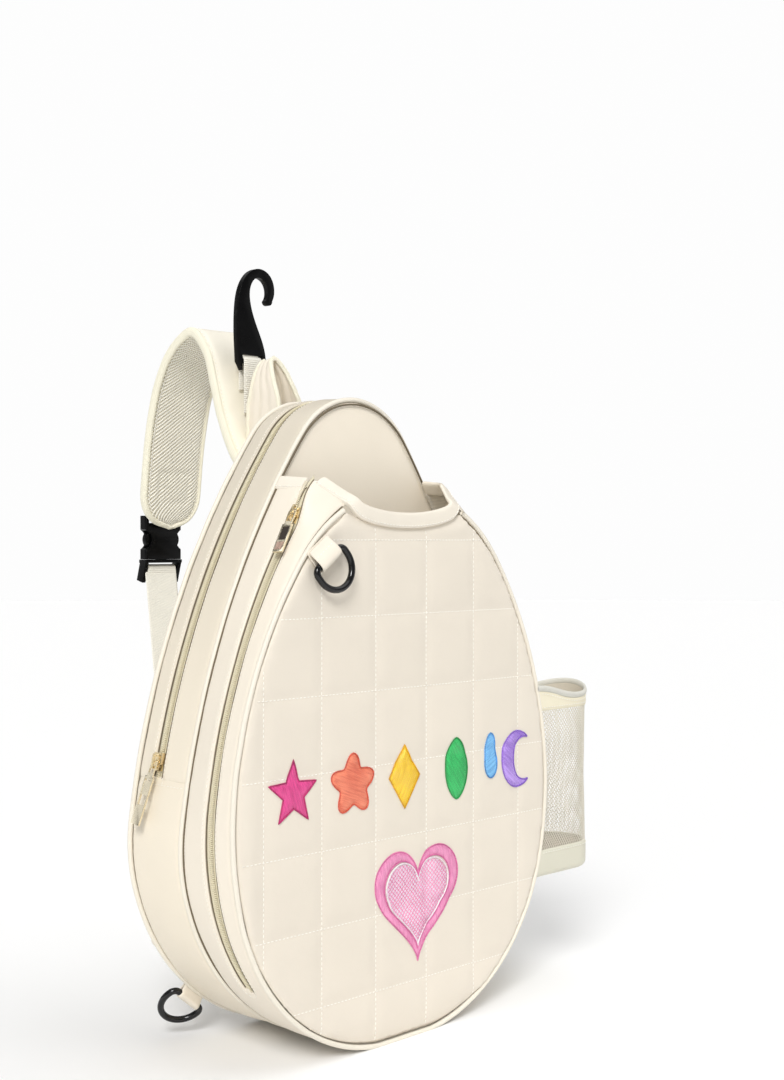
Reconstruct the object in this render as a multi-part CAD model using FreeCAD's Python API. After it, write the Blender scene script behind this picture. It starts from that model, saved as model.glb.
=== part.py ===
"""Racket sling backpack, in millimetres, as an assembly of separate solids.

Origin: centre of the flat resting patch under the bag. +X runs across the bag to the right of
someone facing its front, +Y runs from the front to the wearer's back and +Z points up.
"Depth" below is the distance behind the front face of the bag.
"""

import FreeCAD
import Part
import math
import os

Vector = FreeCAD.Vector

# ---- driving dimensions -------------------------------------------------------------------
BAG_DEPTH = 118.0          # front face to rear face of the body
SEAM_DEPTH = 58.0          # where the racket pocket meets the main compartment
MID_DEPTH = BAG_DEPTH / 2  # the row's Y = 0 plane
WALL = 3.0                 # lined and padded wall of the gussets
PANEL = 4.6                # quilted front panel
PIPE_STAND = 1.4           # how far piping stands proud of the gusset
PIPE_WIDTH = 4.0

# Outline of a section: half of the flat base, then arcs up each side. The arcs meet at the
# same outward normals in every section, so any section between two is made of arcs as well.
NORMALS = (-85.0, -15.0, 8.0, 36.5, 90.0)
FRONT = {"flat": 28.5, "radii": (155.0, 251.0, 316.5)}
SEAM = {"flat": 20.0, "radii": (169.5, 127.0, 627.0)}

# Opening of the racket pocket and its folded hem
RIM_CENTRE = 399.5         # height of the front rim at the middle
RIM_CORNER = 407.0         # and at its corners
RIM_CORNER_X = 56.0
RIM_SIDE = ((0.0, 406.5), (20.0, 424.0), (SEAM_DEPTH, 427.0))   # depth, height over the gusset
HEM = 12.0

# Zips
TAPE_WIDTH = 13.0
TAPE_INSET = 2.2
COIL_WIDTH = 3.4
COIL_HEIGHT = 2.0
POCKET_ZIP_DEPTH = 25.0
POCKET_ZIP_END = 62.0      # height of its lower end
POCKET_SLIDER_Z = 396.0
MAIN_ZIP_DEPTH = 91.0
MAIN_ZIP_END = 205.0       # height of the cross seams where its panel starts
MAIN_SLIDER_Z = 218.0
# Pulls: half width, length, degrees off the gusset and degrees turned across it
POCKET_PULL = {"half": 4.2, "length": 27.0, "lean": 1.5, "swing": 10.0}
MAIN_PULL = {"half": 4.6, "length": 38.0, "lean": 4.0, "swing": -8.0}
PULL_THICK = 1.6
PULL_RIM = 1.1             # left beside the window
PULL_WINDOW = 0.62         # share of the length that the window reaches down
BAIL_LENGTH = 9.0
BAIL_HALF = (2.2, 3.1)     # inside and outside
BAIL_WIRE = 1.2
POCKET_SLIDER_TILT = 8.6   # degrees, slope of the pocket gusset across the zip

# Strap, its buckle and its webbing
STRAP_HALF = 32.0
STRAP_END = 392.0
BINDING = 4.5
STRAP_LINE = ((119.0, 429.0), (140.0, 434.5), (163.0, 445.0), (181.0, 478.0), (190.0, 505.0),
              (200.0, 534.0), (220.0, 553.5), (248.0, 538.5), (266.5, 509.0), (277.0, 472.0),
              (283.0, 432.0), (287.5, 386.0))
WEB_HALF = 16.0
WEB_THICK = 1.8
BUCKLE_DEPTH = 298.5
BUCKLE_HALF = 20.0
BUCKLE_THICK = 10.0
SOCKET_Z = (361.5, 400.0)
SOCKET_WALL = 2.6
PRONG_HALF, PRONG_LENGTH = 4.5, 24.0
BITE_R, BITE_OUT = 9.5, 3.0            # finger bites in the socket's sides
ADJUSTER_LEAN = 16.0
ADJUSTER_BARS = ((-0.6, -5.0), (1.0, -15.0))     # y and z from the foot
WEB_TOP = (0.0, 299.5, 353.6)        # x, depth, z of the bar that the webbing turns round
WEB_FOOT = (-110.0, 123.5, 66.0)

# Wearer's side
BACK_FACE = BAG_DEPTH + 1.0
CUSHION_THICK = 8.0
CUSHION_INSET = 26.0
CUSHION_Z = (96.0, 404.0)
SPINE_HALF = 9.0           # channel between the two cushions
ANCHOR_THICK = 5.5
PATCH_LAYER = 2.4

# Haul loop and fence hook
LOOP_LINE = ((-12.0, 436.0), (-11.5, 462.0), (-9.5, 492.0), (-6.0, 516.0), (0.0, 527.0))
LOOP_WIDTH = 44.0
LOOP_SIDE = ((22.0, 425.0), (22.0, 462.0), (19.5, 492.0), (12.0, 516.0), (4.0, 535.0))
LOOP_THICK = 3.6
LOOP_DEPTH = 141.5
LOOP_LEAN = 9.0
HOOK_DEPTH = 179.0
HOOK_BAR_Z = 528.0
HOOK_FOOT = ((15.2, 527.0), (10.6, 519.4))        # x and z of the foot's corners
HOOK_SLOT = (10.8, 515.0, 533.0)                  # half width, low and high
HOOK_TIP = (18.4, 576.4)
HOOK_BAR_R = 2.2
HOOK_THICK = 5.4
TAB_HALF = 10.0
CLEAR = 0.35               # running clearance between pieces of different bodies

# D-rings
RING_WIRE = 2.5            # radius of the wire
RING_BAR = 33.0            # centre line width
RING_TURN = 5.0            # radius of its corners
FRONT_RING = {"x": -89.0, "depth": -5.4, "z": 365.5, "angle": 36.0}
FRONT_RING_LEN = 24.5
FRONT_TAB_LEN = 17.0
FRONT_RING_TILT = 9.0
LOW_RING_LEN = 22.5
LOW_RING_TILT = 40.0
LOW_TAB_LEN = 12.0
LOW_RING = {"x": 115.5, "depth": 119.0, "z": 30.5, "angle": 39.0}

# Bottle pocket on the right of the racket pocket
BOTTLE_DEPTH = 33.0
BOTTLE_R = 31.0
BOTTLE_X = 218.0
BOTTLE_LEVELS = (96.0, 119.0, 236.0, 252.0, 258.0)

# Embroidery: centre x, centre z, width, height
PATCH_THICK = 1.2
ROW_Z = 199.5
ROW_HEIGHT = 48.0
EMBLEM = (11.0, 100.0, 92.0, 86.0)


# ---- helpers ------------------------------------------------------------------------------
def y_of(depth):
    return depth - MID_DEPTH


def point(x, depth, z):
    return Vector(x, y_of(depth), z)


def slab(x0, x1, depth0, depth1, z0, z1):
    return Part.makeBox(x1 - x0, depth1 - depth0, z1 - z0, point(x0, depth0, z0))


def section_at(depth):
    """Arc data of the body's section at a depth; it is constant behind the seam."""
    t = min(depth / SEAM_DEPTH, 1.0)
    flat = FRONT["flat"] + t * (SEAM["flat"] - FRONT["flat"])
    radii = [a + t * (b - a) for a, b in zip(FRONT["radii"], SEAM["radii"])]
    x, z, arcs = flat, 0.0, []
    for radius, start, end in zip(radii + [None], NORMALS, NORMALS[1:]):
        start, end = math.radians(start), math.radians(end)
        if radius is None:
            radius = x / math.cos(start)        # the top arc meets its mirror image at x = 0
        cx, cz = x - radius * math.cos(start), z - radius * math.sin(start)
        arcs.append((cx, cz, radius, start, end))
        x, z = cx + radius * math.cos(end), cz + radius * math.sin(end)
    return arcs


def arc_edge(arc, inset, depth, side):
    cx, cz, radius, start, end = arc

    def at(angle):
        reach = radius - inset
        return point(side * (cx + reach * math.cos(angle)), depth, cz + reach * math.sin(angle))

    return Part.Arc(at(start), at((start + end) / 2), at(end)).toShape(), at(start), at(end)


def outline(depth, inset):
    """Closed outline of the body at a depth, moved inwards by the inset."""
    right = [arc_edge(arc, inset, depth, 1) for arc in section_at(depth)]
    left = [arc_edge(arc, inset, depth, -1) for arc in section_at(depth)]
    base = Part.LineSegment(left[0][1], right[0][1]).toShape()
    edges = [base] + [e[0] for e in right] + [e[0] for e in reversed(left)]
    return Part.Wire(Part.__sortEdges__(edges))


def body(depth0, depth1, inset):
    return Part.makeLoft([outline(depth0, inset), outline(depth1, inset)], True, True)


def ring(depth0, depth1, outer, inner):
    """The body's wall between two depths and two insets, closed all round."""
    hollow = body(depth0 - 1.0, depth1 + 1.0, inner)
    return above_floor(body(depth0, depth1, outer).cut(hollow))


def above_floor(shape):
    return shape.common(slab(-300, 300, -50, 400, 0, 700))


def prism(points, depth0, depth1):
    """A polygon of (x, z) points, extruded through a range of depths."""
    corners = [point(x, depth0, z) for x, z in points]
    face = Part.Face(Part.makePolygon(corners + corners[:1]))
    return face.extrude(Vector(0, depth1 - depth0, 0))


def side_prism(points, x0, x1):
    """A polygon of (depth, z) points, extruded through a range of x."""
    corners = [point(x0, depth, z) for depth, z in points]
    face = Part.Face(Part.makePolygon(corners + corners[:1]))
    return face.extrude(Vector(x1 - x0, 0, 0))


def spline(points):
    curve = Part.BSplineCurve()
    curve.interpolate(points)
    return curve


def offset_spline(curve, points, across, distance):
    """A spline beside another one; across is the direction that the strip is wide in."""
    moved = []
    for p in points:
        tangent = curve.tangent(curve.parameter(p))[0]
        side = across.cross(tangent)
        side.normalize()
        moved.append(p + side * distance)
    return spline(moved)


def strip(points, across, low, high, half):
    """A band that follows points, thick from low to high and 2 x half wide."""
    curve = spline(points)
    near = offset_spline(curve, points, across, low).toShape()
    far = offset_spline(curve, points, across, high).toShape()
    ends = [Part.makeLine(near.Vertexes[i].Point, far.Vertexes[i].Point) for i in (0, -1)]
    face = Part.Face(Part.Wire([near, ends[1], far, ends[0]]))
    face.translate(across * -half)
    return face.extrude(across * (2 * half))


def frame_at(origin, right, up):
    """A placement whose local x runs along right and local y along up."""
    right, up = Vector(right), Vector(up)
    right.normalize()
    up.normalize()
    out = right.cross(up)
    m = FreeCAD.Matrix(right.x, up.x, out.x, origin.x,
                       right.y, up.y, out.y, origin.y,
                       right.z, up.z, out.z, origin.z, 0, 0, 0, 1)
    return FreeCAD.Placement(m)


def placed(shape, placement):
    copy = shape.copy()
    copy.Placement = placement
    return copy


def box(x, y, z):
    """A box from three (low, high) pairs."""
    return Part.makeBox(x[1] - x[0], y[1] - y[0], z[1] - z[0], Vector(x[0], y[0], z[0]))


def rod(radius, length, centre, direction):
    start = centre - direction * (length / 2)
    return Part.makeCylinder(radius, length, start, direction)


def mirrored(shape):
    return shape.mirror(Vector(0, 0, 0), Vector(1, 0, 0))


# ---- body of the bag ----------------------------------------------------------------------
PIPE_FRONT = (0.6, 0.6 + PIPE_WIDTH)
PIPE_SEAM = (SEAM_DEPTH - 2.5, SEAM_DEPTH + 1.5)
PIPE_REAR = (BAG_DEPTH - PIPE_WIDTH, BAG_DEPTH)
FRONT_INSET = 2.2
SLEEVE_THICK, SLEEVE_INSET, SLEEVE_Z = 2.5, 17.0, (70.0, 260.0)
PANEL_LAP = 1.0            # how far a sewn-in panel reaches past its seam
SEWN_GAP = 0.4             # between a panel and the wall that it is sewn into


def over_rim(drop):
    """Everything above the rim of the racket pocket, with the rim lowered by drop."""
    top = 560.0
    sag = RIM_CORNER - RIM_CENTRE
    reach = 3 * RIM_CORNER_X
    radius = (RIM_CORNER_X ** 2 + sag ** 2) / (2 * sag)
    end_z = RIM_CENTRE + radius - math.sqrt(radius ** 2 - reach ** 2) - drop
    left, right = point(-reach, -5, end_z), point(reach, -5, end_z)
    arc = Part.Arc(left, point(0, -5, RIM_CENTRE - drop), right).toShape()
    lid = Part.makePolygon([right, point(reach, -5, top), point(-reach, -5, top), left])
    front = Part.Face(Part.Wire([arc] + lid.Edges)).extrude(Vector(0, 5 + PIPE_FRONT[1], 0))
    low = [(d, z - drop) for d, z in RIM_SIDE]
    edge = PIPE_FRONT[1]
    start_z = low[0][1] + (low[1][1] - low[0][1]) * edge / low[1][0]
    side = [(edge, start_z)] + low[1:] + [(SEAM_DEPTH, top), (edge, top)]
    return front.fuse(side_prism(side, -reach, reach))


def pocket_zip_slot():
    half = TAPE_WIDTH / 2
    return slab(-300, -40, POCKET_ZIP_DEPTH - half, POCKET_ZIP_DEPTH + half, POCKET_ZIP_END, 560)


def front_panel():
    return body(0.0, PANEL, FRONT_INSET).cut(over_rim(HEM))


def front_piping():
    return ring(*PIPE_FRONT, -PIPE_STAND, FRONT_INSET).cut(over_rim(HEM))


def front_gusset():
    wall = ring(PIPE_FRONT[1], PIPE_SEAM[0], 0.0, WALL)
    return wall.cut(over_rim(HEM)).cut(pocket_zip_slot())


def opening_hem():
    wall = ring(PIPE_FRONT[1], PIPE_SEAM[0], -0.6, WALL + 0.6)
    front = body(-0.6, PIPE_FRONT[1], -0.6)
    band = wall.fuse(front).common(over_rim(HEM)).cut(over_rim(0.0))
    return band.cut(pocket_zip_slot())


def seam_piping():
    return ring(*PIPE_SEAM, -PIPE_STAND, WALL)


def divider_panel():
    panel = body(PIPE_SEAM[0] + 0.5, PIPE_SEAM[1] + PANEL_LAP, WALL + SEWN_GAP)
    return biggest(panel.cut(seam_piping()))


def main_gusset_bottom():
    wall = ring(PIPE_SEAM[1], PIPE_REAR[0], 0.0, WALL)
    return wall.common(slab(-300, 300, 0, 200, 0, MAIN_ZIP_END))


def upper_only(shape):
    return shape.common(slab(-300, 300, 0, 200, MAIN_ZIP_END, 600))


def main_zip_front_strip():
    return upper_only(ring(PIPE_SEAM[1], MAIN_ZIP_DEPTH - TAPE_WIDTH / 2, 0.0, WALL))


def main_zip_rear_strip():
    return upper_only(ring(MAIN_ZIP_DEPTH + TAPE_WIDTH / 2, PIPE_REAR[0], 0.0, WALL))


def rear_piping():
    return ring(*PIPE_REAR, -PIPE_STAND, WALL)


def back_panel():
    return body(PIPE_REAR[0] + 0.5, BACK_FACE, WALL + SEWN_GAP)


def back_board():
    """Foam sheet that stiffens the back, inside the main compartment."""
    return body(PIPE_REAR[0] - 3.0, PIPE_REAR[0] + 0.5, WALL + 1.0)


def slip_pocket():
    """Open-topped sleeve sewn to the divider, inside the main compartment."""
    front = PIPE_SEAM[1] + PANEL_LAP
    return body(front, front + SLEEVE_THICK, SLEEVE_INSET).common(slab(-300, 300, 0, 200, *SLEEVE_Z))


def back_pad():
    """Two air-mesh cushions on the wearer's side, left and right of a spine channel."""
    cushions = body(BACK_FACE, BACK_FACE + CUSHION_THICK, CUSHION_INSET)
    cushions = cushions.common(slab(-300, 300, 0, 200, *CUSHION_Z))
    return cushions.cut(slab(-SPINE_HALF, SPINE_HALF, 0, 200, 0, 600))


# ---- zips ---------------------------------------------------------------------------------
def zip_tape(depth):
    half = TAPE_WIDTH / 2
    return ring(depth - half + 0.05, depth + half - 0.05, TAPE_INSET, WALL)


def zip_coil(depth):
    half = COIL_WIDTH / 2
    return ring(depth - half, depth + half, TAPE_INSET - COIL_HEIGHT, TAPE_INSET)


def pocket_part(shape):
    left = slab(-300, -40, 0, SEAM_DEPTH, POCKET_ZIP_END, 560)
    return shape.common(left).cut(over_rim(0.0))


def slider_arc(depth):
    """Side arc that a slider runs along: centre x, centre z and radius, on the right side."""
    return section_at(depth)[2][:3]


def slider_frame(depth, z, tilt):
    """Local frame of a slider on the left wall: x across the zip, y up the zip, z outwards."""
    cx, cz, radius = slider_arc(depth)
    angle = math.asin((z - cz) / radius)
    origin = point(-(cx + radius * math.cos(angle)), depth, z)
    up = Vector(math.sin(angle), 0, math.cos(angle))
    across = FreeCAD.Rotation(up, tilt).multVec(Vector(0, -1, 0))
    return frame_at(origin, across, up)


SLIDER_HALF = 4.4
SLIDER_LEN = 6.5           # half of its length along the zip
SLIDER_TOP = 3.2
BRIDGE_Z = 5.2             # height of the pull's pin above the gusset
PIN_R = 0.8


def slider(placement):
    """Two plates over the coil with a bridge on top for the pull."""
    low = -1.0
    shell = box((-SLIDER_HALF, SLIDER_HALF), (-SLIDER_LEN, SLIDER_LEN), (low, SLIDER_TOP))
    nose = box((-SLIDER_HALF, -2.6), (-SLIDER_LEN, -2.0), (low, SLIDER_TOP))
    shell = shell.cut(nose).cut(nose.mirror(Vector(0, 0, 0), Vector(1, 0, 0)))
    channel = box((-2.3, 2.3), (-10, 10), (low - 1, 1.2))
    bridge = box((-0.9, 0.9), (-5.4, 5.4), (SLIDER_TOP, BRIDGE_Z + PIN_R + CLEAR + 1.2))
    gap = box((-2, 2), (-3.6, 3.6), (SLIDER_TOP + 0.3, BRIDGE_Z + PIN_R + CLEAR))
    return placed(shell.cut(channel).fuse(bridge).cut(gap), placement)


def pull(placement, data):
    """Bail round the slider's bridge and a plate with a long window."""
    half, length = data["half"], data["length"]
    inside, outside = BAIL_HALF
    wire, plate = (-BAIL_WIRE / 2, BAIL_WIRE / 2), (-PULL_THICK / 2, PULL_THICK / 2)
    neck = 2.4             # from the bail's end to the plate
    head = 2 * PULL_RIM    # from the plate's top to the window
    pieces = [
        rod(PIN_R, 2 * outside, Vector(0, 0, 0), Vector(1, 0, 0)),
        box((-outside, -inside), (-BAIL_LENGTH, 0), wire),
        box((inside, outside), (-BAIL_LENGTH, 0), wire),
        box((-outside, outside), (-BAIL_LENGTH - neck - 0.6, -BAIL_LENGTH + 0.4), wire),
        box((-half, half), (-BAIL_LENGTH - length, -BAIL_LENGTH - neck), plate),
    ]
    window = box((PULL_RIM - half, half - PULL_RIM),
                 (-BAIL_LENGTH - length * PULL_WINDOW, -BAIL_LENGTH - neck - head),
                 (-PULL_THICK, PULL_THICK))
    shape = pieces[0].multiFuse(pieces[1:]).cut(window).removeSplitter()
    shape.rotate(Vector(0, 0, 0), Vector(1, 0, 0), -data["lean"])
    shape.rotate(Vector(0, 0, 0), Vector(0, 0, 1), data["swing"])
    shape.translate(Vector(0, 0, BRIDGE_Z))
    shape.transformShape(placement.toMatrix())
    return biggest(shape)


POCKET_FRAME = slider_frame(POCKET_ZIP_DEPTH, POCKET_SLIDER_Z, POCKET_SLIDER_TILT)
MAIN_FRAME = slider_frame(MAIN_ZIP_DEPTH, MAIN_SLIDER_Z, 0.0)


# ---- strap --------------------------------------------------------------------------------
def strap_band(low, high, half, end):
    points = [point(0, d, z) for d, z in STRAP_LINE]
    band = strip(points, Vector(1, 0, 0), low, high, half + 1)
    corner = half * 0.92
    outline_box = Part.makeBox(2 * half, 300, 300, point(-half, 100, end))
    lower = [e for e in outline_box.Edges
             if abs(e.BoundBox.ZMax - end) < 0.01 and e.BoundBox.YLength > 200]
    band = band.common(outline_box.makeFillet(corner, lower))
    return band.common(slab(-100, 100, BACK_FACE, 400, 300, 700))


INNER_HALF = STRAP_HALF - BINDING
INNER_END = STRAP_END + BINDING


def strap_pad():
    return strap_band(-2.3, 4.5, INNER_HALF, INNER_END)


def strap_mesh():
    return strap_band(-4.5, -2.3, INNER_HALF, INNER_END)


def strap_binding():
    outer = strap_band(-4.9, 4.9, STRAP_HALF, STRAP_END)
    return outer.cut(strap_band(-6.0, 6.0, INNER_HALF, INNER_END))


def under_strap():
    """The strap with all the space inside its arch, for what is sewn on top of it."""
    arch = side_prism(STRAP_LINE, -60, 60)
    return arch.fuse(strap_band(-5.0, 4.9, STRAP_HALF, STRAP_END))


def strap_root_patch():
    patch = prism([(-38, 408), (38, 408), (30, 456), (-30, 456)], BACK_FACE, BACK_FACE + PATCH_LAYER)
    return patch.cut(strap_band(-5.0, 5.0, STRAP_HALF, STRAP_END))


def strap_end_webbing():
    """Short webbing from the pad's outer face to the slot of the buckle's socket."""
    line = [point(0, d, z) for d, z in ((288.4, 446.0), (291.0, 428.0), (293.6, 413.0),
                                        (297.4, 403.0), (BUCKLE_DEPTH, 394.6))]
    band = strip(line, Vector(1, 0, 0), 0.0, 1.5, WEB_HALF)
    band = band.cut(strap_band(-5.0, 5.0, STRAP_HALF, STRAP_END))
    return biggest(band.cut(buckle_socket()))


def biggest(shape):
    return max(shape.Solids, key=lambda solid: solid.Volume)


# ---- buckle -------------------------------------------------------------------------------
WINDOW_Z = (370.0, 388.0)
ARM_PIVOT_Z = SOCKET_Z[0] + 1.6
ARM_X = 13.8
FOOT_HEIGHT = 3.0          # of the plug, below the socket
RAIL_HALF = 1.8
BAR_R = 2.0


def buckle_block(half, thick, z0, z1):
    return slab(-half, half, BUCKLE_DEPTH - thick / 2, BUCKLE_DEPTH + thick / 2, z0, z1)


def buckle_socket():
    z0, z1 = SOCKET_Z
    shell = buckle_block(BUCKLE_HALF, BUCKLE_THICK, z0, z1)
    tall = [e for e in shell.Edges if e.BoundBox.ZLength > 20]
    shell = shell.makeFillet(2.5, tall)
    cavity = buckle_block(BUCKLE_HALF - SOCKET_WALL, BUCKLE_THICK - 4.0, z0 - 1, z1 - 9)
    slot = buckle_block(WEB_HALF + 0.8, 40.0, z1 - 6.4, z1 - 2.6)
    shell = shell.cut(cavity).cut(slot)
    middle = sum(WINDOW_Z) / 2
    for side in (-1, 1):
        centre = point(side * (BUCKLE_HALF + BITE_OUT), 200, middle)
        shell = shell.cut(Part.makeCylinder(BITE_R, 200, centre, Vector(0, 1, 0)))
    return shell


def buckle_plug():
    """Foot of the plug with its middle prong and the two-bar adjuster under it."""
    z0 = SOCKET_Z[0]
    foot = buckle_block(BUCKLE_HALF, BUCKLE_THICK, z0 - FOOT_HEIGHT, z0 - 0.2)
    prong = buckle_block(PRONG_HALF, BUCKLE_THICK - 4.8, z0 - 1.0, z0 + PRONG_LENGTH)
    rail_x = BUCKLE_HALF - RAIL_HALF
    rails = [box((side * rail_x - RAIL_HALF, side * rail_x + RAIL_HALF), (-4.0, 4.0), (-17.0, 1.0))
             for side in (-1, 1)]
    bars = [rod(BAR_R, 2 * rail_x, Vector(0, y, z), Vector(1, 0, 0))
            for y, z in ADJUSTER_BARS]
    adjuster = rails[0].multiFuse(rails[1:] + bars)
    adjuster.rotate(Vector(0, 0, 0), Vector(1, 0, 0), ADJUSTER_LEAN)
    adjuster.translate(point(0, BUCKLE_DEPTH, z0 - FOOT_HEIGHT))
    return foot.multiFuse([prong, adjuster]).removeSplitter()


def buckle_arm():
    """Right-hand latch arm: a round foot in the plug, a blade and a finger pad."""
    foot = rod(1.2, BUCKLE_THICK - 4.8, point(ARM_X, BUCKLE_DEPTH, ARM_PIVOT_Z), Vector(0, 1, 0))
    thick = (BUCKLE_THICK - 4.8) / 2
    blade = slab(ARM_X - 1.2, ARM_X + 1.2, BUCKLE_DEPTH - thick, BUCKLE_DEPTH + thick,
                 ARM_PIVOT_Z, WINDOW_Z[1] - 1.5)
    centre = point(ARM_X - 3.4, BUCKLE_DEPTH - thick, sum(WINDOW_Z) / 2)
    pad = Part.makeCylinder(8.0, 2 * thick, centre, Vector(0, 1, 0))
    pad = pad.common(slab(ARM_X - 1, 60, 200, 400, 0, 600))
    return foot.multiFuse([blade, pad]).removeSplitter()


# ---- lower webbing ------------------------------------------------------------------------
def strap_webbing():
    top, foot = point(*WEB_TOP), point(*WEB_FOOT)
    sections = []
    for share in (0.0, 0.5, 1.0):
        centre = top + (foot - top) * share
        level = Vector(1, 0, 0) * (1 - share) + Vector(0.93, 0, -0.36) * share
        level.normalize()
        along = (foot - top).normalize()
        face = along.cross(level)
        face.normalize()
        a, b = level * WEB_HALF, face * (WEB_THICK / 2)
        corners = [centre - a - b, centre + a - b, centre + a + b, centre - a + b]
        sections.append(Part.makePolygon(corners + corners[:1]))
    web = Part.makeLoft(sections, True, True)
    return biggest(web.cut(buckle_plug()))


def webbing_anchor():
    """Fabric wedge that holds the foot of the webbing to the lower left of the back."""
    wedge = prism([(-152, 82), (-100, 25), (-84, 58), (-96, 86), (-128, 98)],
                  BACK_FACE, BACK_FACE + ANCHOR_THICK)
    outside = ring(BAG_DEPTH, BAG_DEPTH + 8, -20.0, 2.0)
    tab = low_ring_parts(-1)[1]
    return biggest(wedge.cut(strap_webbing()).cut(outside).cut(back_pad()).cut(tab))


# ---- haul loop and hook -------------------------------------------------------------------
def haul_loop():
    half_line = list(LOOP_LINE)
    line = half_line + [(-x, z) for x, z in reversed(half_line[:-1])]
    points = [point(x, LOOP_DEPTH, z) for x, z in line]
    loop = strip(points, Vector(0, 1, 0), 0.0, LOOP_THICK, LOOP_WIDTH / 2)
    side = [(-half, z) for half, z in LOOP_SIDE] + [(half, z) for half, z in reversed(LOOP_SIDE)]
    taper = Part.makePolygon([point(-50, LOOP_DEPTH + d, z) for d, z in side + side[:1]])
    loop = loop.common(Part.Face(taper).extrude(Vector(100, 0, 0)))
    loop.rotate(point(0, LOOP_DEPTH, LOOP_LINE[0][1]), Vector(1, 0, 0), -LOOP_LEAN)
    return biggest(loop.cut(under_strap()).cut(strap_root_patch()))


def hook_tab():
    """Webbing folded round the hook's bar, sewn to the strap below."""
    inner = HOOK_BAR_R + CLEAR
    outer = inner + 1.4
    width = 2 * TAB_HALF
    centre = point(-TAB_HALF, HOOK_DEPTH, HOOK_BAR_Z)
    fold = Part.makeCylinder(outer, width, centre, Vector(1, 0, 0))
    legs = slab(-TAB_HALF, TAB_HALF, HOOK_DEPTH - outer, HOOK_DEPTH + outer, 470, HOOK_BAR_Z)
    hole = Part.makeCylinder(inner, width, centre, Vector(1, 0, 0))
    gap = slab(-TAB_HALF, TAB_HALF, HOOK_DEPTH - inner, HOOK_DEPTH + inner,
               HOOK_BAR_Z - 9, HOOK_BAR_Z)
    tab = fold.fuse(legs).cut(hole).cut(gap)
    return biggest(tab.cut(under_strap()))


def fence_hook():
    """Flat moulded hook: a slotted foot, a tapering shank and a curl towards +X."""
    outer = [(-15.2, 527.0), (-16.3, 545.0), (-16.2, 569.0), (-12.0, 590.0), (-2.5, 602.5),
             (8.5, 606.2), (20.0, 601.5), (24.8, 590.5), (22.5, 580.5)]
    inner = [(15.0, 579.8), (17.8, 588.2), (13.2, 596.6), (5.2, 598.2), (-1.6, 590.6),
             (-2.0, 577.0), (4.2, 559.5), (12.6, 541.5), (15.2, 527.0)]
    depth = HOOK_DEPTH - HOOK_THICK / 2
    far = spline([point(x, depth, z) for x, z in outer]).toShape()
    near = spline([point(x, depth, z) for x, z in inner]).toShape()
    (x0, z0), (x1, z1) = outer[-1], inner[0]
    (tip_x, tip_z), (high, low) = HOOK_TIP, HOOK_FOOT
    tip = Part.Arc(point(x0, depth, z0), point(tip_x, depth, tip_z), point(x1, depth, z1)).toShape()
    foot = Part.makePolygon([point(x, depth, z) for x, z in (
        high, low, (-low[0], low[1]), (-high[0], high[1]))])
    face = Part.Face(Part.Wire([far, tip, near] + foot.Edges))
    plate = face.extrude(Vector(0, HOOK_THICK, 0))
    half, low_z, high_z = HOOK_SLOT
    slot = slab(-half, half, HOOK_DEPTH - 20, HOOK_DEPTH + 20, low_z, high_z)
    bar = rod(HOOK_BAR_R, 2 * half + 0.8, point(0, HOOK_DEPTH, HOOK_BAR_Z), Vector(1, 0, 0))
    return plate.cut(slot).fuse(bar)


# ---- D-rings ------------------------------------------------------------------------------
def d_ring(length):
    """D-ring in its own frame: straight bar along x at the origin, bow towards -y."""
    half = RING_BAR / 2
    turn = RING_TURN
    straight = length - half      # the bow is a half round at the end of two straight sides
    top_left, top_right = Vector(-half + turn, 0, 0), Vector(half - turn, 0, 0)
    bend = turn * (1 - math.sqrt(0.5))
    edges = [
        Part.LineSegment(top_left, top_right),
        Part.Arc(top_right, Vector(half - bend, -bend, 0), Vector(half, -turn, 0)),
        Part.LineSegment(Vector(half, -turn, 0), Vector(half, -straight, 0)),
        Part.Arc(Vector(half, -straight, 0), Vector(0, -length, 0),
                 Vector(-half, -straight, 0)),
        Part.LineSegment(Vector(-half, -straight, 0), Vector(-half, -turn, 0)),
        Part.Arc(Vector(-half, -turn, 0), Vector(-half + bend, -bend, 0), top_left),
    ]
    path = Part.Wire([e.toShape() for e in edges])
    section = Part.Wire(Part.makeCircle(RING_WIRE, top_left, Vector(1, 0, 0)))
    return path.makePipeShell([section], True, False)


def ring_tab(length, height):
    """Fabric folded round the bar of a D-ring, reaching length towards +y."""
    inner = RING_WIRE + CLEAR
    outer = inner + 1.5
    half = RING_BAR / 2 - 5.2
    tube = Part.makeCylinder(outer, 2 * half, Vector(-half, 0, 0), Vector(1, 0, 0))
    strap = box((-half, half), (0.0, length), (-height, height))
    hole = Part.makeCylinder(inner, 2 * half, Vector(-half, 0, 0), Vector(1, 0, 0))
    return tube.fuse(strap).cut(hole)


def ring_frame(ring_data, tilt):
    """Bar direction rises to the right by the angle; the bow points down from it."""
    angle = math.radians(ring_data["angle"])
    along = Vector(math.cos(angle), 0, math.sin(angle))
    down = Vector(math.sin(angle), 0, -math.cos(angle))
    down = FreeCAD.Rotation(along, tilt).multVec(down)
    origin = point(ring_data["x"], ring_data["depth"], ring_data["z"])
    return frame_at(origin, along, down * -1)


def front_d_ring():
    return placed(d_ring(FRONT_RING_LEN), ring_frame(FRONT_RING, -FRONT_RING_TILT))


def front_ring_tab():
    tab = placed(ring_tab(FRONT_TAB_LEN, 2.4), ring_frame(FRONT_RING, 4.0))
    solid = tab.cut(body(0.0, 20.0, FRONT_INSET)).cut(front_piping())
    return biggest(solid)


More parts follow.
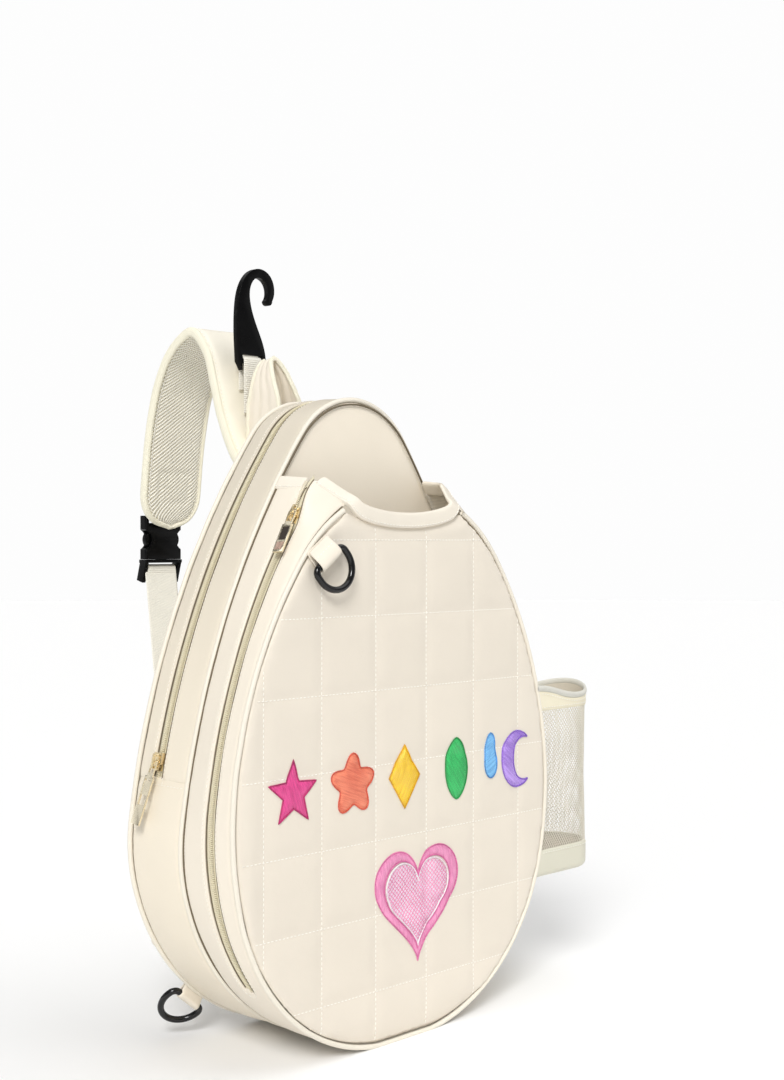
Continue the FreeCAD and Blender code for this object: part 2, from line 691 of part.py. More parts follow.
# ---- bottle pocket ------------------------------------------------------------------------
def pocket_tub(radius, z0, z1):
    """U-shaped plan from the gusset out to a half round."""
    block = slab(150, BOTTLE_X, BOTTLE_DEPTH - radius, BOTTLE_DEPTH + radius, z0, z1)
    end = Part.makeCylinder(radius, z1 - z0, point(BOTTLE_X, BOTTLE_DEPTH, z0))
    return block.fuse(end)


def pocket_level(index, outer, inner):
    z0, z1 = BOTTLE_LEVELS[index:index + 2]
    floor = 3.0 if index == 0 else -5.0
    tub = pocket_tub(BOTTLE_R + outer, z0, z1)
    tub = tub.cut(pocket_tub(BOTTLE_R - inner, z0 + floor, z1 + 5))
    if index == 0:
        rounded = [e for e in tub.Edges if abs(e.BoundBox.ZMax - z0) < 0.01
                   and e.BoundBox.XMax > BOTTLE_X + 5]
        tub = tub.makeFillet(2.5, rounded)
    wall = body(0.0, SEAM_DEPTH, -0.02).fuse(body(SEAM_DEPTH, BAG_DEPTH, -0.02))
    pipes = front_piping().fuse(seam_piping())
    return biggest(tub.cut(wall).cut(pipes))


# ---- embroidery ---------------------------------------------------------------------------
def patch_from(points):
    return prism(points, -PATCH_THICK, 0.0)


def polar(count, radius_of, stretch=1.0):
    turns = [2 * math.pi * i / count for i in range(count)]
    return [(radius_of(a) * math.sin(a) * stretch, radius_of(a) * math.cos(a)) for a in turns]


def star():
    tall, deep = ROW_HEIGHT / 2, ROW_HEIGHT / 4.6
    return [((tall if i % 2 == 0 else deep) * math.sin(math.pi * i / 5),
             (tall if i % 2 == 0 else deep) * math.cos(math.pi * i / 5)) for i in range(10)]


def flower():
    return polar(60, lambda a: ROW_HEIGHT * (0.39 + 0.09 * math.cos(5 * a)))


def diamond():
    return [(0, ROW_HEIGHT / 2), (17, 0), (0, -ROW_HEIGHT / 2), (-17, 0)]


def leaf():
    rise = [math.pi * i / 16 for i in range(17)]
    right = [(13 * math.sin(a) ** 1.3, ROW_HEIGHT / 2 * math.cos(a)) for a in rise]
    return right + [(-x, z) for x, z in reversed(right[1:-1])]


def drop():
    return polar(40, lambda a: 12.0 + 12.0 * max(0.0, math.cos(a)) ** 5, 0.62)


def crescent():
    outer = [(20 * math.cos(a), 23 * math.sin(a))
             for a in (math.radians(50 + 13 * i) for i in range(21))]
    inner = [(9 + 14 * math.cos(a), 17.6 * math.sin(a))
             for a in (math.radians(285 - 14 * i) for i in range(16))]
    return outer + inner


def heart(width, height):
    turns = [2 * math.pi * i / 72 for i in range(72)]
    shape = [(16 * math.sin(a) ** 3,
              13 * math.cos(a) - 5 * math.cos(2 * a) - 2 * math.cos(3 * a) - math.cos(4 * a))
             for a in turns]
    return [(x * width / 32, (z + 2.6) * height / 29) for x, z in shape]


MOTIFS = {
    "motif_star": (star, -119.0),
    "motif_flower": (flower, -59.0),
    "motif_diamond": (diamond, -4.0),
    "motif_leaf": (leaf, 56.0),
    "motif_drop": (drop, 98.0),
    "motif_crescent": (crescent, 132.0),
}


def motif(outline_of, centre):
    return patch_from([(x + centre, z + ROW_Z) for x, z in outline_of()])


def motif_emblem():
    x0, z0, width, height = EMBLEM
    return patch_from([(x + x0, z + z0) for x, z in heart(width, height)])


# ---- assembly -----------------------------------------------------------------------------
def low_ring_parts(side):
    """D-ring and its tab at a lower rear corner; side is -1 for left and 1 for right."""
    frame = ring_frame(LOW_RING, 0.0)
    tilted = ring_frame(LOW_RING, LOW_RING_TILT)
    loop = placed(d_ring(LOW_RING_LEN), tilted)
    tab = placed(ring_tab(LOW_TAB_LEN, 1.6), frame)
    tab = biggest(tab.cut(body(SEAM_DEPTH, BAG_DEPTH + 1.0, -PIPE_STAND)))
    if side > 0:
        return loop, tab
    return mirrored(loop), mirrored(tab)


def build():
    parts = {
        "front_panel": front_panel(),
        "front_piping": front_piping(),
        "front_gusset": front_gusset(),
        "opening_hem": opening_hem(),
        "seam_piping": seam_piping(),
        "divider_panel": divider_panel(),
        "slip_pocket": slip_pocket(),
        "main_gusset_bottom": main_gusset_bottom(),
        "main_zip_front_strip": main_zip_front_strip(),
        "main_zip_rear_strip": main_zip_rear_strip(),
        "rear_piping": rear_piping(),
        "back_panel": back_panel(),
        "back_board": back_board(),
        "back_pad": back_pad(),
        "pocket_zip_tape": pocket_part(zip_tape(POCKET_ZIP_DEPTH)),
        "pocket_zip_coil": pocket_part(zip_coil(POCKET_ZIP_DEPTH)),
        "pocket_zip_slider": slider(POCKET_FRAME),
        "pocket_zip_pull": pull(POCKET_FRAME, POCKET_PULL),
        "main_zip_tape": upper_only(zip_tape(MAIN_ZIP_DEPTH)),
        "main_zip_coil": upper_only(zip_coil(MAIN_ZIP_DEPTH)),
        "main_zip_slider": slider(MAIN_FRAME),
        "main_zip_pull": pull(MAIN_FRAME, MAIN_PULL),
        "strap_pad": strap_pad(),
        "strap_mesh": strap_mesh(),
        "strap_binding": strap_binding(),
        "strap_root_patch": strap_root_patch(),
        "strap_end_webbing": strap_end_webbing(),
        "buckle_socket": buckle_socket(),
        "buckle_plug": buckle_plug(),
        "buckle_arm_right": buckle_arm(),
        "buckle_arm_left": mirrored(buckle_arm()),
        "strap_webbing": strap_webbing(),
        "webbing_anchor": webbing_anchor(),
        "haul_loop": haul_loop(),
        "hook_tab": hook_tab(),
        "fence_hook": fence_hook(),
        "front_d_ring": front_d_ring(),
        "front_ring_tab": front_ring_tab(),
        "bottle_pocket_base": pocket_level(0, 0.6, 1.6),
        "bottle_pocket_mesh": pocket_level(1, 0.0, 1.6),
        "bottle_pocket_band": pocket_level(2, 0.6, 1.6),
        "bottle_pocket_binding": pocket_level(3, 1.4, 2.4),
        "motif_emblem": motif_emblem(),
    }
    for name, (outline_of, centre) in MOTIFS.items():
        parts[name] = motif(outline_of, centre)
    for label, side in (("left", -1), ("right", 1)):
        loop, tab = low_ring_parts(side)
        parts["low_d_ring_" + label] = loop
        parts["low_ring_tab_" + label] = tab
    return parts


def report(name, shape):
    b = shape.optimalBoundingBox()
    state = "valid" if shape.isValid() else "NOT VALID"
    print(f"{name:24s} {len(shape.Solids)} solid(s) {shape.Volume / 1000:8.2f} cm3 {state}"
          f"  x {b.XMin:.1f}..{b.XMax:.1f}  y {b.YMin:.1f}..{b.YMax:.1f}  z {b.ZMin:.1f}..{b.ZMax:.1f}")


def main():
    os.makedirs("parts", exist_ok=True)
    for name, shape in build().items():
        report(name, shape)
        shape.exportStep(os.path.join("parts", name + ".step"))


main()
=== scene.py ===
import bpy, bmesh, math, numpy
from mathutils import Matrix, Vector, noise
from mathutils.bvhtree import BVHTree
from mathutils.geometry import delaunay_2d_cdt


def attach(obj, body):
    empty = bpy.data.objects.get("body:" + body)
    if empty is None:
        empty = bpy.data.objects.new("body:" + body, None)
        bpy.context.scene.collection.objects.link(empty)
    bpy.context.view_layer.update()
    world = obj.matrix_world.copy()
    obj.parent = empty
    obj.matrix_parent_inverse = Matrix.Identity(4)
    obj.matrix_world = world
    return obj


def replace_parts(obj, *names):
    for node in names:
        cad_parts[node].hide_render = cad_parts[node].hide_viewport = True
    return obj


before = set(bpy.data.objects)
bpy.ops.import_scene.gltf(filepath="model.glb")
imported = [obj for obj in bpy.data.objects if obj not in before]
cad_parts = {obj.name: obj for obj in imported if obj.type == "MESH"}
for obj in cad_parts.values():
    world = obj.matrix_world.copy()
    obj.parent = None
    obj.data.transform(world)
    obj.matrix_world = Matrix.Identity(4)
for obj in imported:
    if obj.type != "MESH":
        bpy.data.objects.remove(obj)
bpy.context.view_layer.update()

MM = 0.001

# ---- dimensions of the bag, in millimetres, as the frame has them --------------------------
MID, SEAM_D = 59.0, 58.0
NORMALS = [math.radians(a) for a in (-85.0, -15.0, 8.0, 36.5, 90.0)]
FRONT = (28.5, (155.0, 251.0, 316.5))
SEAM = (20.0, (169.5, 127.0, 627.0))
RIM_CENTRE, RIM_CORNER, RIM_X = 399.5, 407.0, 56.0
RIM_SIDE = ((0.0, 406.5), (20.0, 424.0), (58.0, 427.0))
HEM = 12.0
SQUARE = 56.0
QUILT_X = [-146.0 + SQUARE * i for i in range(6)]
QUILT_Z = [42.6 + SQUARE * i for i in range(7)]
POCKET_ZIP, POCKET_ZIP_END, POCKET_SLIDER = 25.0, 62.0, 396.0
MAIN_ZIP, MAIN_ZIP_END = 91.0, 205.0
SLOT = 4.9                        # half of what shows of a zip between its two edges


def smooth(t):
    t = min(max(t, 0.0), 1.0)
    return t * t * (3 - 2 * t)


def lerp(a, b, t):
    return a + (b - a) * t


def vec(x, depth, z):
    return Vector((x * MM, (depth - MID) * MM, max(z, 0.0) * MM))


def wave(p, size, seed=0.0):
    """Smooth noise from -1 to 1; p and size in millimetres."""
    return noise.noise(Vector(p) / size + Vector((seed * 7.3, seed * 3.1, seed * 1.7)))


# ---- the body's outline --------------------------------------------------------------------
_arcs = {}


def arcs_at(depth):
    key = round(depth, 4)
    if key not in _arcs:
        t = min(max(depth / SEAM_D, 0.0), 1.0)
        flat = lerp(FRONT[0], SEAM[0], t)
        radii = [lerp(a, b, t) for a, b in zip(FRONT[1], SEAM[1])]
        x, z, arcs = flat, 0.0, []
        for radius, start, end in zip(radii + [None], NORMALS, NORMALS[1:]):
            if radius is None:
                radius = x / math.cos(start)
            cx, cz = x - radius * math.cos(start), z - radius * math.sin(start)
            arcs.append((cx, cz, radius, start, end))
            x, z = cx + radius * math.cos(end), cz + radius * math.sin(end)
        _arcs[key] = (flat, arcs)
    return _arcs[key]


def outline(v, depth, off=0.0):
    """x and z of the outline and its outward normal. v runs from 0 under the bag to 5 at its
    top, positive on the right and negative on the left."""
    side, a = (1.0 if v >= 0 else -1.0), abs(v)
    flat, arcs = arcs_at(depth)
    if a < 1:
        return side * flat * a, -off, (0.0, -1.0)
    k = min(int(a) - 1, 3)
    cx, cz, radius, start, end = arcs[k]
    angle = lerp(start, end, a - 1 - k)
    n = (math.cos(angle), math.sin(angle))
    return side * (cx + (radius + off) * n[0]), cz + (radius + off) * n[1], (side * n[0], n[1])


def surf(v, depth, off=0.0):
    """Point of the outline at a depth, standing off it by a distance."""
    x, z, _ = outline(v, depth, off)
    return vec(x, depth, z)


def normal_at(v, depth):
    n = outline(v, depth)[2]
    return Vector((n[0], 0.0, n[1]))


def v_at(z, depth):
    """The v of the outline's right side at a height."""
    low, high = 1.0, 5.0
    for _ in range(36):
        mid = (low + high) / 2
        if outline(mid, depth)[1] < z:
            low = mid
        else:
            high = mid
    return (low + high) / 2


STEPS = (3, 46, 26, 64, 30)       # marks on the flat foot and on each of the four arcs


def fine(v0, v1):
    """Values of v between two ends, about 4 mm apart round the bag."""
    marks = []
    for side in (-1, 1):
        for k, n in enumerate(STEPS):
            marks += [side * (k + i / n) for i in range(n + 1)]
    marks = sorted({round(m, 5) for m in marks if v0 + 0.004 < m < v1 - 0.004})
    return [v0] + marks + [v1]


def rim_z(depth):
    """Height of the opening's rim on the sides."""
    (_, z0), (d1, z1), (d2, z2) = RIM_SIDE
    if depth < d1:
        return lerp(z0, z1, max(depth, 0.0) / d1)
    return lerp(z1, z2, min((depth - d1) / (d2 - d1), 1.0))


SAG = RIM_CORNER - RIM_CENTRE
RIM_R = (RIM_X ** 2 + SAG ** 2) / (2 * SAG)


def front_rim_z(x):
    """Height of the opening's rim in front, which sags in an arc between its corners."""
    return RIM_CENTRE + RIM_R - math.sqrt(RIM_R ** 2 - x ** 2)


# ---- materials -----------------------------------------------------------------------------
def rgb(r, g, b):
    """Linear colour from display values."""
    return tuple((c / 12.92 if c <= 0.04045 else ((c + 0.055) / 1.055) ** 2.4)
                 for c in (r / 255, g / 255, b / 255)) + (1.0,)


class Mat:
    """A material with a few helpers for its nodes."""

    def __init__(self, name, color, rough, metal=0.0, sheen=0.0, specular=0.5, coat=0.0):
        self.mat = bpy.data.materials.new(name)
        self.mat.use_nodes = True
        self.tree = self.mat.node_tree
        self.shader = self.tree.nodes["Principled BSDF"]
        s = self.shader.inputs
        s["Base Color"].default_value = color
        s["Roughness"].default_value = rough
        s["Metallic"].default_value = metal
        s["Specular IOR Level"].default_value = specular
        s["Sheen Weight"].default_value = sheen
        s["Sheen Roughness"].default_value = 0.5
        s["Coat Weight"].default_value = coat
        s["Coat Roughness"].default_value = 0.25
        self.last_bump = None

    def node(self, kind, **values):
        n = self.tree.nodes.new(kind)
        for key, value in values.items():
            setattr(n, key, value)
        return n

    def link(self, a, b):
        self.tree.links.new(a, b)

    def coords(self, uv=False, scale=(1, 1, 1), rot=(0, 0, 0)):
        tex = self.node("ShaderNodeTexCoord")
        mapping = self.node("ShaderNodeMapping")
        mapping.inputs["Scale"].default_value = scale
        mapping.inputs["Rotation"].default_value = rot
        self.link(tex.outputs["UV" if uv else "Object"], mapping.inputs["Vector"])
        return mapping.outputs["Vector"]

    def noise(self, at, scale, detail=2.0, rough=0.5):
        n = self.node("ShaderNodeTexNoise")
        n.inputs["Scale"].default_value = scale
        n.inputs["Detail"].default_value = detail
        n.inputs["Roughness"].default_value = rough
        self.link(at, n.inputs["Vector"])
        return n.outputs["Fac"]

    def voronoi(self, at, scale, feature="F1", randomness=1.0, distance="EUCLIDEAN"):
        n = self.node("ShaderNodeTexVoronoi", feature=feature, distance=distance)
        n.inputs["Scale"].default_value = scale
        n.inputs["Randomness"].default_value = randomness
        self.link(at, n.inputs["Vector"])
        return n.outputs["Distance"]

    def bands(self, at, period, direction="X", distortion=0.0):
        """Stripes at right angles to a direction, one each period in metres."""
        n = self.node("ShaderNodeTexWave", bands_direction=direction)
        n.inputs["Scale"].default_value = math.pi / 10 / period
        n.inputs["Distortion"].default_value = distortion
        n.inputs["Detail"].default_value = 1.0
        self.link(at, n.inputs["Vector"])
        return n.outputs["Fac"]

    def maths(self, op, a, b=None):
        n = self.node("ShaderNodeMath", operation=op)
        for socket, value in zip(n.inputs, (a, b)):
            if value is None:
                continue
            if isinstance(value, (int, float)):
                socket.default_value = value
            else:
                self.link(value, socket)
        return n.outputs[0]

    def blend(self, a, share_a, b, share_b):
        """Two values added in given shares."""
        return self.maths("ADD", self.maths("MULTIPLY", a, share_a), self.maths("MULTIPLY", b, share_b))

    def ramp(self, fac, *stops):
        n = self.node("ShaderNodeValToRGB")
        e = n.color_ramp.elements
        e[0].position, e[0].color = stops[0]
        e[1].position, e[1].color = stops[-1]
        for position, color in stops[1:-1]:
            e.new(position).color = color
        self.link(fac, n.inputs["Fac"])
        return n.outputs["Color"]

    def grey(self, fac, *stops):
        return self.ramp(fac, *[(p, (v, v, v, 1)) for p, v in stops])

    def color(self, output):
        self.link(output, self.shader.inputs["Base Color"])

    def rough(self, output):
        self.link(output, self.shader.inputs["Roughness"])

    def bump(self, height, distance, strength=1.0):
        """Adds a bump of a depth in metres; later bumps lie on top of earlier ones."""
        n = self.node("ShaderNodeBump")
        n.inputs["Distance"].default_value = distance
        n.inputs["Strength"].default_value = strength
        self.link(height, n.inputs["Height"])
        if self.last_bump is not None:
            self.link(self.last_bump, n.inputs["Normal"])
        self.last_bump = n.outputs["Normal"]
        self.link(self.last_bump, self.shader.inputs["Normal"])


def shade(color, k):
    return tuple(c * k for c in color[:3]) + (1.0,)


def leather(name, color, rough=0.42, grain=1.0, top_shade=None):
    """Fine-grained coated cloth. The last argument, when given, is painted shade: how much darker the colour
    is painted at the top of the bag, where less light falls.
    """
    m = Mat(name, color, rough, specular=0.4)
    at = m.coords()
    cells = m.voronoi(at, 1500.0)
    broad = m.noise(at, 14.0, 3.0)
    fine_noise = m.noise(at, 420.0, 2.0)
    tone = m.ramp(broad, (0.3, shade(color, 0.965)), (0.7, shade(color, 1.0)))
    # painted shade: the colour is multiplied darker with height, for the weaker light on the top of the bag
    if top_shade is not None:
        height = m.node("ShaderNodeSeparateXYZ")
        m.link(at, height.inputs[0])
        mix = m.node("ShaderNodeMix", data_type="RGBA", blend_type="MULTIPLY")
        mix.inputs["Factor"].default_value = 1.0
        m.link(tone, mix.inputs["A"])
        m.link(m.grey(height.outputs["Z"], (0.16, 1.0), (0.44, top_shade)), mix.inputs["B"])
        tone = mix.outputs["Result"]
    m.color(tone)
    m.rough(m.grey(fine_noise, (0.3, rough - 0.06), (0.75, rough + 0.12)))
    m.bump(cells, 0.00012 * grain, 0.55)
    m.bump(fine_noise, 0.00012 * grain, 0.5)
    return m.mat


def weave(name, color, pitch, depth=0.0002, rough=0.8, contrast=0.8, uv=True):
    """Woven cloth with threads at a pitch in metres, both ways, in a piece's own UVs."""
    m = Mat(name, color, rough, sheen=0.15, specular=0.25)
    at = m.coords(uv=uv)
    check = m.maths("MULTIPLY", m.bands(at, pitch, "X", 0.4), m.bands(at, pitch, "Y", 0.4))
    loose = m.noise(at, 60.0, 3.0)
    m.color(m.ramp(m.blend(check, 0.7, loose, 0.3), (0.05, shade(color, contrast)), (0.6, color)))
    m.bump(check, depth, 0.8)
    m.bump(m.noise(at, 3000.0, 1.0), 0.00006, 0.4)
    return m.mat


def ribbed(name, color, pitch, depth, contrast=0.75, rough=0.75):
    """Webbing: ribs across its length, each of fine twisted yarns."""
    m = Mat(name, color, rough, sheen=0.2, specular=0.3)
    at = m.coords(uv=True)
    rib = m.bands(at, pitch, "X", 0.5)
    yarn = m.bands(at, pitch * 0.7, "Y", 1.5)
    wear = m.noise(at, 45.0, 3.0)
    mix = m.maths("MULTIPLY", rib, m.maths("ADD", m.maths("MULTIPLY", yarn, 0.4), 0.6))
    m.color(m.ramp(m.blend(mix, 0.7, wear, 0.3), (0.0, shade(color, contrast)), (0.6, color)))
    m.bump(rib, depth, 0.9)
    m.bump(yarn, 0.0001, 0.6)
    return m.mat


def air_mesh(name, color, hole, pitch=0.0027):
    """Spacer mesh: slanting ribs with a row of small holes between each two."""
    m = Mat(name, color, 0.85, sheen=0.2, specular=0.2)
    at = m.coords(uv=True, rot=(0, 0, math.radians(38)))
    ribs = m.bands(at, pitch, "Y", 0.6)
    beads = m.bands(at, pitch * 0.62, "X", 0.6)
    pit = m.maths("MULTIPLY", m.maths("SUBTRACT", 1.0, ribs), m.maths("SUBTRACT", 1.0, beads))
    fuzz = m.noise(at, 900.0, 2.0)
    height = m.maths("SUBTRACT", m.maths("MULTIPLY", ribs, 0.75), m.maths("MULTIPLY", pit, 0.45))
    tone = m.maths("ADD", height, m.maths("MULTIPLY", fuzz, 0.35))
    m.color(m.ramp(tone, (-0.1, hole), (0.35, shade(color, 0.93)), (0.75, color)))
    m.bump(height, 0.0009, 0.9)
    m.bump(fuzz, 0.0002, 0.5)
    return m.mat


def satin(name, color, dark, angle, pitch=0.00045, rough=0.32, glint=1.3):
    """Satin stitch: close parallel threads in lighter and darker clumps; the lightest streaks are a painted
    highlight for the satin's sheen.
    """
    m = Mat(name, color, rough, sheen=0.0, specular=0.55, coat=0.1)
    at = m.coords(rot=(0, angle, 0))
    thread = m.bands(at, pitch, "X", 0.8)
    tex = m.node("ShaderNodeMapping")
    tex.inputs["Scale"].default_value = (1.0, 1.0, 0.07)
    m.link(at, tex.inputs["Vector"])
    clump = m.noise(tex.outputs["Vector"], 850.0, 2.0)
    tone = m.noise(at, 42.0, 2.0)
    mix = m.blend(thread, 0.22, clump, 0.42)
    mix = m.maths("ADD", mix, m.maths("MULTIPLY", tone, 0.36))
    # painted highlight: the top of the ramp lifts the thread colour by glint for the satin's sheen
    m.color(m.ramp(mix, (0.38, dark), (0.5, color), (0.62, shade(color, glint))))
    m.bump(clump, 0.0005, 0.9)
    m.bump(thread, 0.0002, 0.8)
    return m.mat


def plastic(name, color, rough, grain=0.00006, scale=1800.0, specular=0.5):
    m = Mat(name, color, rough, specular=specular)
    at = m.coords()
    grit = m.noise(at, scale, 2.0)
    m.rough(m.grey(m.noise(at, 60.0, 3.0), (0.3, rough - 0.05), (0.75, rough + 0.1)))
    m.bump(grit, grain, 0.5)
    return m.mat


def plated(name, color, rough=0.2):
    m = Mat(name, color, rough, metal=1.0)
    at = m.coords()
    m.rough(m.grey(m.noise(at, 500.0, 3.0), (0.3, rough * 0.6), (0.75, rough + 0.16)))
    m.color(m.ramp(m.noise(at, 120.0, 2.0), (0.3, shade(color, 0.88)), (0.7, color)))
    m.bump(m.noise(at, 900.0, 2.0), 0.00004, 0.5)
    return m.mat


M = {
    "panel": leather("quilted_leather", rgb(231, 222, 207), 0.46),
    "gusset": leather("smooth_leather", rgb(238, 229, 213), 0.42),
    # painted shade: the main gusset's leather is painted darker towards the top of the bag
    "gusset_main": leather("rear_leather_painted_shade", rgb(239, 229, 210), 0.42, top_shade=0.80),
    # painted light: the strap's face is a lighter copy of the gusset leather, brightened because less light
    # reaches it
    "strap_face": leather("strap_leather_painted_light", rgb(250, 244, 228), 0.44),
    "piping": leather("piping_leather", rgb(236, 229, 214), 0.42, 0.7),
    "hem": leather("hem_leather", rgb(237, 229, 214), 0.44),
    "divider": leather("divider_leather", rgb(248, 238, 220), 0.44),
    "foot": leather("pocket_foot_leather", rgb(218, 215, 197), 0.44),
    # painted shadow: dark brown for the cords beside the zips and pipings, which stand for the shadow gaps
    # there
    "dye": leather("dyed_edge", rgb(112, 100, 80), 0.7),
    "lining": weave("lining_cloth", rgb(214, 206, 190), 0.0011, 0.0001, contrast=0.85),
    "foam": leather("foam_sheet", rgb(222, 220, 214), 0.85, 2.0),
    "tape": weave("zip_tape_cloth", rgb(236, 227, 198), 0.0008, 0.00012, contrast=0.82),
    "coil": plastic("coil_nylon", rgb(240, 231, 202), 0.42),
    "air": air_mesh("air_mesh_cloth", rgb(255, 252, 240), rgb(206, 196, 168)),
    "webbing": ribbed("webbing_cloth", rgb(244, 240, 228), 0.0017, 0.0004, 0.85),
    "binding": weave("binding_cloth", rgb(248, 243, 222), 0.0009, 0.0002, contrast=0.9),
    "elastic": ribbed("elastic_cloth", rgb(218, 216, 206), 0.0011, 0.00015, 0.88),
    "knit": ribbed("knit_cloth", rgb(244, 236, 210), 0.0014, 0.0002, 0.9),
    "net": weave("net_yarn", rgb(240, 234, 219), 0.0006, 0.0001, contrast=0.88, uv=False),
    "thread": weave("stitch_thread", rgb(255, 252, 244), 0.0004, 0.00005, contrast=0.95, uv=False),
    "black": plastic("black_acetal", (0.0018, 0.0018, 0.002, 1), 0.3, specular=0.12),
    "ring": plastic("black_ring", (0.003, 0.003, 0.0034, 1), 0.14, 0.00003, 600.0, 0.5),
    "gold": plated("pale_gold", (0.97, 0.80, 0.50, 1), 0.17),
    "silver_gold": plated("white_gold", (0.97, 0.88, 0.68, 1), 0.22),
    "rose_gold": plated("rose_gold", (0.86, 0.62, 0.50, 1), 0.3),
    # painted shade: near-black sheet for the shade seen through the slot in the pocket pull's frame
    "inlay": plastic("pull_inlay", (0.035, 0.026, 0.02, 1), 0.3),
}

SLOTS = {key: key for key in ("panel", "gusset", "piping", "lining", "foam", "webbing", "binding",
                              "elastic", "net", "gold")}
SLOTS.update({key: "gusset" for key in ("gusset_main", "strap_face", "foot", "divider", "hem")})
SLOTS.update(dye="piping", knit="elastic", tape="zip_tape", coil="zip_coil", air="air_mesh",
             thread="binding", black="black_plastic", inlay="black_plastic", ring="black_ring",
             silver_gold="gold", rose_gold="gold")


# ---- mesh helpers --------------------------------------------------------------------------
def make(name, verts, faces, mat, uvs=None, body="bag", flat=False):
    """A piece that rides on a body, with a material."""
    mesh = bpy.data.meshes.new(name)
    mesh.from_pydata([tuple(v) for v in verts], [], faces)
    mesh.materials.append(M[mat])
    mesh.polygons.foreach_set("use_smooth", [not flat] * len(mesh.polygons))
    if uvs is not None:
        layer = mesh.uv_layers.new(name="UVMap")
        for loop in mesh.loops:
            layer.data[loop.index].uv = uvs[loop.vertex_index]
    mesh.update()
    obj = bpy.data.objects.new(name, mesh)
    bpy.context.scene.collection.objects.link(obj)
    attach(obj, body)
    return obj


def edit(obj, change):
    """Makes a change to a piece's mesh, given to it as a bmesh."""
    bm = bmesh.new()
    bm.from_mesh(obj.data)
    change(bm)
    bm.to_mesh(obj.data)
    bm.free()


def face_out(bm):
    bmesh.ops.recalc_face_normals(bm, faces=bm.faces)


def turn_over(bm):
    bmesh.ops.reverse_faces(bm, faces=bm.faces)


def quads(rows, cols, base=0, close_rows=False, close_cols=False, keep=None):
    """Faces of a grid whose points are counted row by row from a base."""
    faces = []
    for i in range(rows if close_rows else rows - 1):
        for j in range(cols if close_cols else cols - 1):
            if keep is None or keep(i, j):
                here, there, j1 = base + i * cols, base + (i + 1) % rows * cols, (j + 1) % cols
                faces.append((here + j, here + j1, there + j1, there + j))
    return faces


def across(cols):
    """Shares from -1 to 1 for the points of a row."""
    return [2 * j / cols - 1 for j in range(cols + 1)]


def lengths(points):
    """Distance along a line of points, at each of them."""
    total, out = 0.0, [0.0]
    for a, b in zip(points, points[1:]):
        total += (b - a).length
        out.append(total)
    return out


def sheet_mesh(name, grid, mat, close=False, keep=None, outward=None):
    """Grid of points, rows of equal length. outward gives the way its faces look."""
    rows, cols = len(grid), len(grid[0])
    verts = [p for row in grid for p in row]
    us, vs = lengths(grid[rows // 2]), lengths([row[cols // 2] for row in grid])
    uvs = [(u, v) for v in vs for u in us]
    faces = quads(rows, cols, close_cols=close, keep=keep)
    if outward is not None:
        f = faces[len(faces) // 2]
        a, b, c = (verts[f[k]] for k in (0, 1, 2))
        if (b - a).cross(c - b).dot(outward(sum((verts[k] for k in f), Vector()) / 4)) < 0:
            faces = [tuple(reversed(f)) for f in faces]
    return make(name, verts, faces, mat, uvs)


def drop_loose(bm):
    bmesh.ops.delete(bm, geom=[v for v in bm.verts if not v.link_faces], context="VERTS")


def soften(obj, levels=1):
    sub = obj.modifiers.new("round", "SUBSURF")
    sub.levels = sub.render_levels = levels


def thicken(obj, thickness, offset=-1.0, inner=None, levels=0):
    """Gives a sheet its thickness, and a second material on its inner side."""
    s = obj.modifiers.new("thick", "SOLIDIFY")
    s.thickness, s.offset = thickness * MM, offset
    s.use_even_offset = False
    if inner is not None:
        obj.data.materials.append(M[inner])
        s.material_offset = len(obj.data.materials) - 1
    if levels:
        soften(obj, levels)


def look_back(p):
    return Vector((0, 1, 0))


def away_from_axis(p):
    return Vector((p.x, 0, p.z - 0.2))


def tube_along(name, points, radius, mat, sides, ups=None, flat=1.0, closed=False):
    """Round or oval cord through points; ups are directions that the oval is measured from."""
    n = len(points)
    rings, uvs = [], []
    along = lengths(points)
    for i, p in enumerate(points):
        a = points[(i - 1) % n] if closed or i else points[i]
        b = points[(i + 1) % n] if closed or i < n - 1 else points[i]
        t = (b - a).normalized()
        up = (ups[i] if ups else Vector((0, 1, 0)))
        side = t.cross(up).normalized()
        up = side.cross(t).normalized()
        r = radius * MM
        for k in range(sides):
            angle = 2 * math.pi * k / sides
            rings.append(p + side * (r * math.cos(angle)) + up * (r * flat * math.sin(angle)))
            uvs.append((along[i], 2 * math.pi * r * k / sides))
    faces = quads(n, sides, close_rows=closed, close_cols=True)
    if not closed:
        faces.append(tuple(range(sides)))
        faces.append(tuple(reversed(range((n - 1) * sides, n * sides))))
    for v in rings:
        v.z = max(v.z, 0.0)
    return make(name, rings, faces, mat, uvs)


def resample(points, step):
    """The same line with its points at equal steps."""
    along = lengths(points)
    total = along[-1]
    n = max(int(total / step), 1)
    out, k = [], 0
    for i in range(n + 1):
        s = total * i / n
        while k < len(points) - 2 and along[k + 1] < s:
            k += 1
        span = along[k + 1] - along[k]
        out.append(points[k].lerp(points[k + 1], (s - along[k]) / span if span else 0.0))
    return out


BEAD = ((-0.5, 0.35), (-0.3, 0.95), (0.0, 1.1), (0.3, 0.95), (0.5, 0.35))     # a stitch's outline


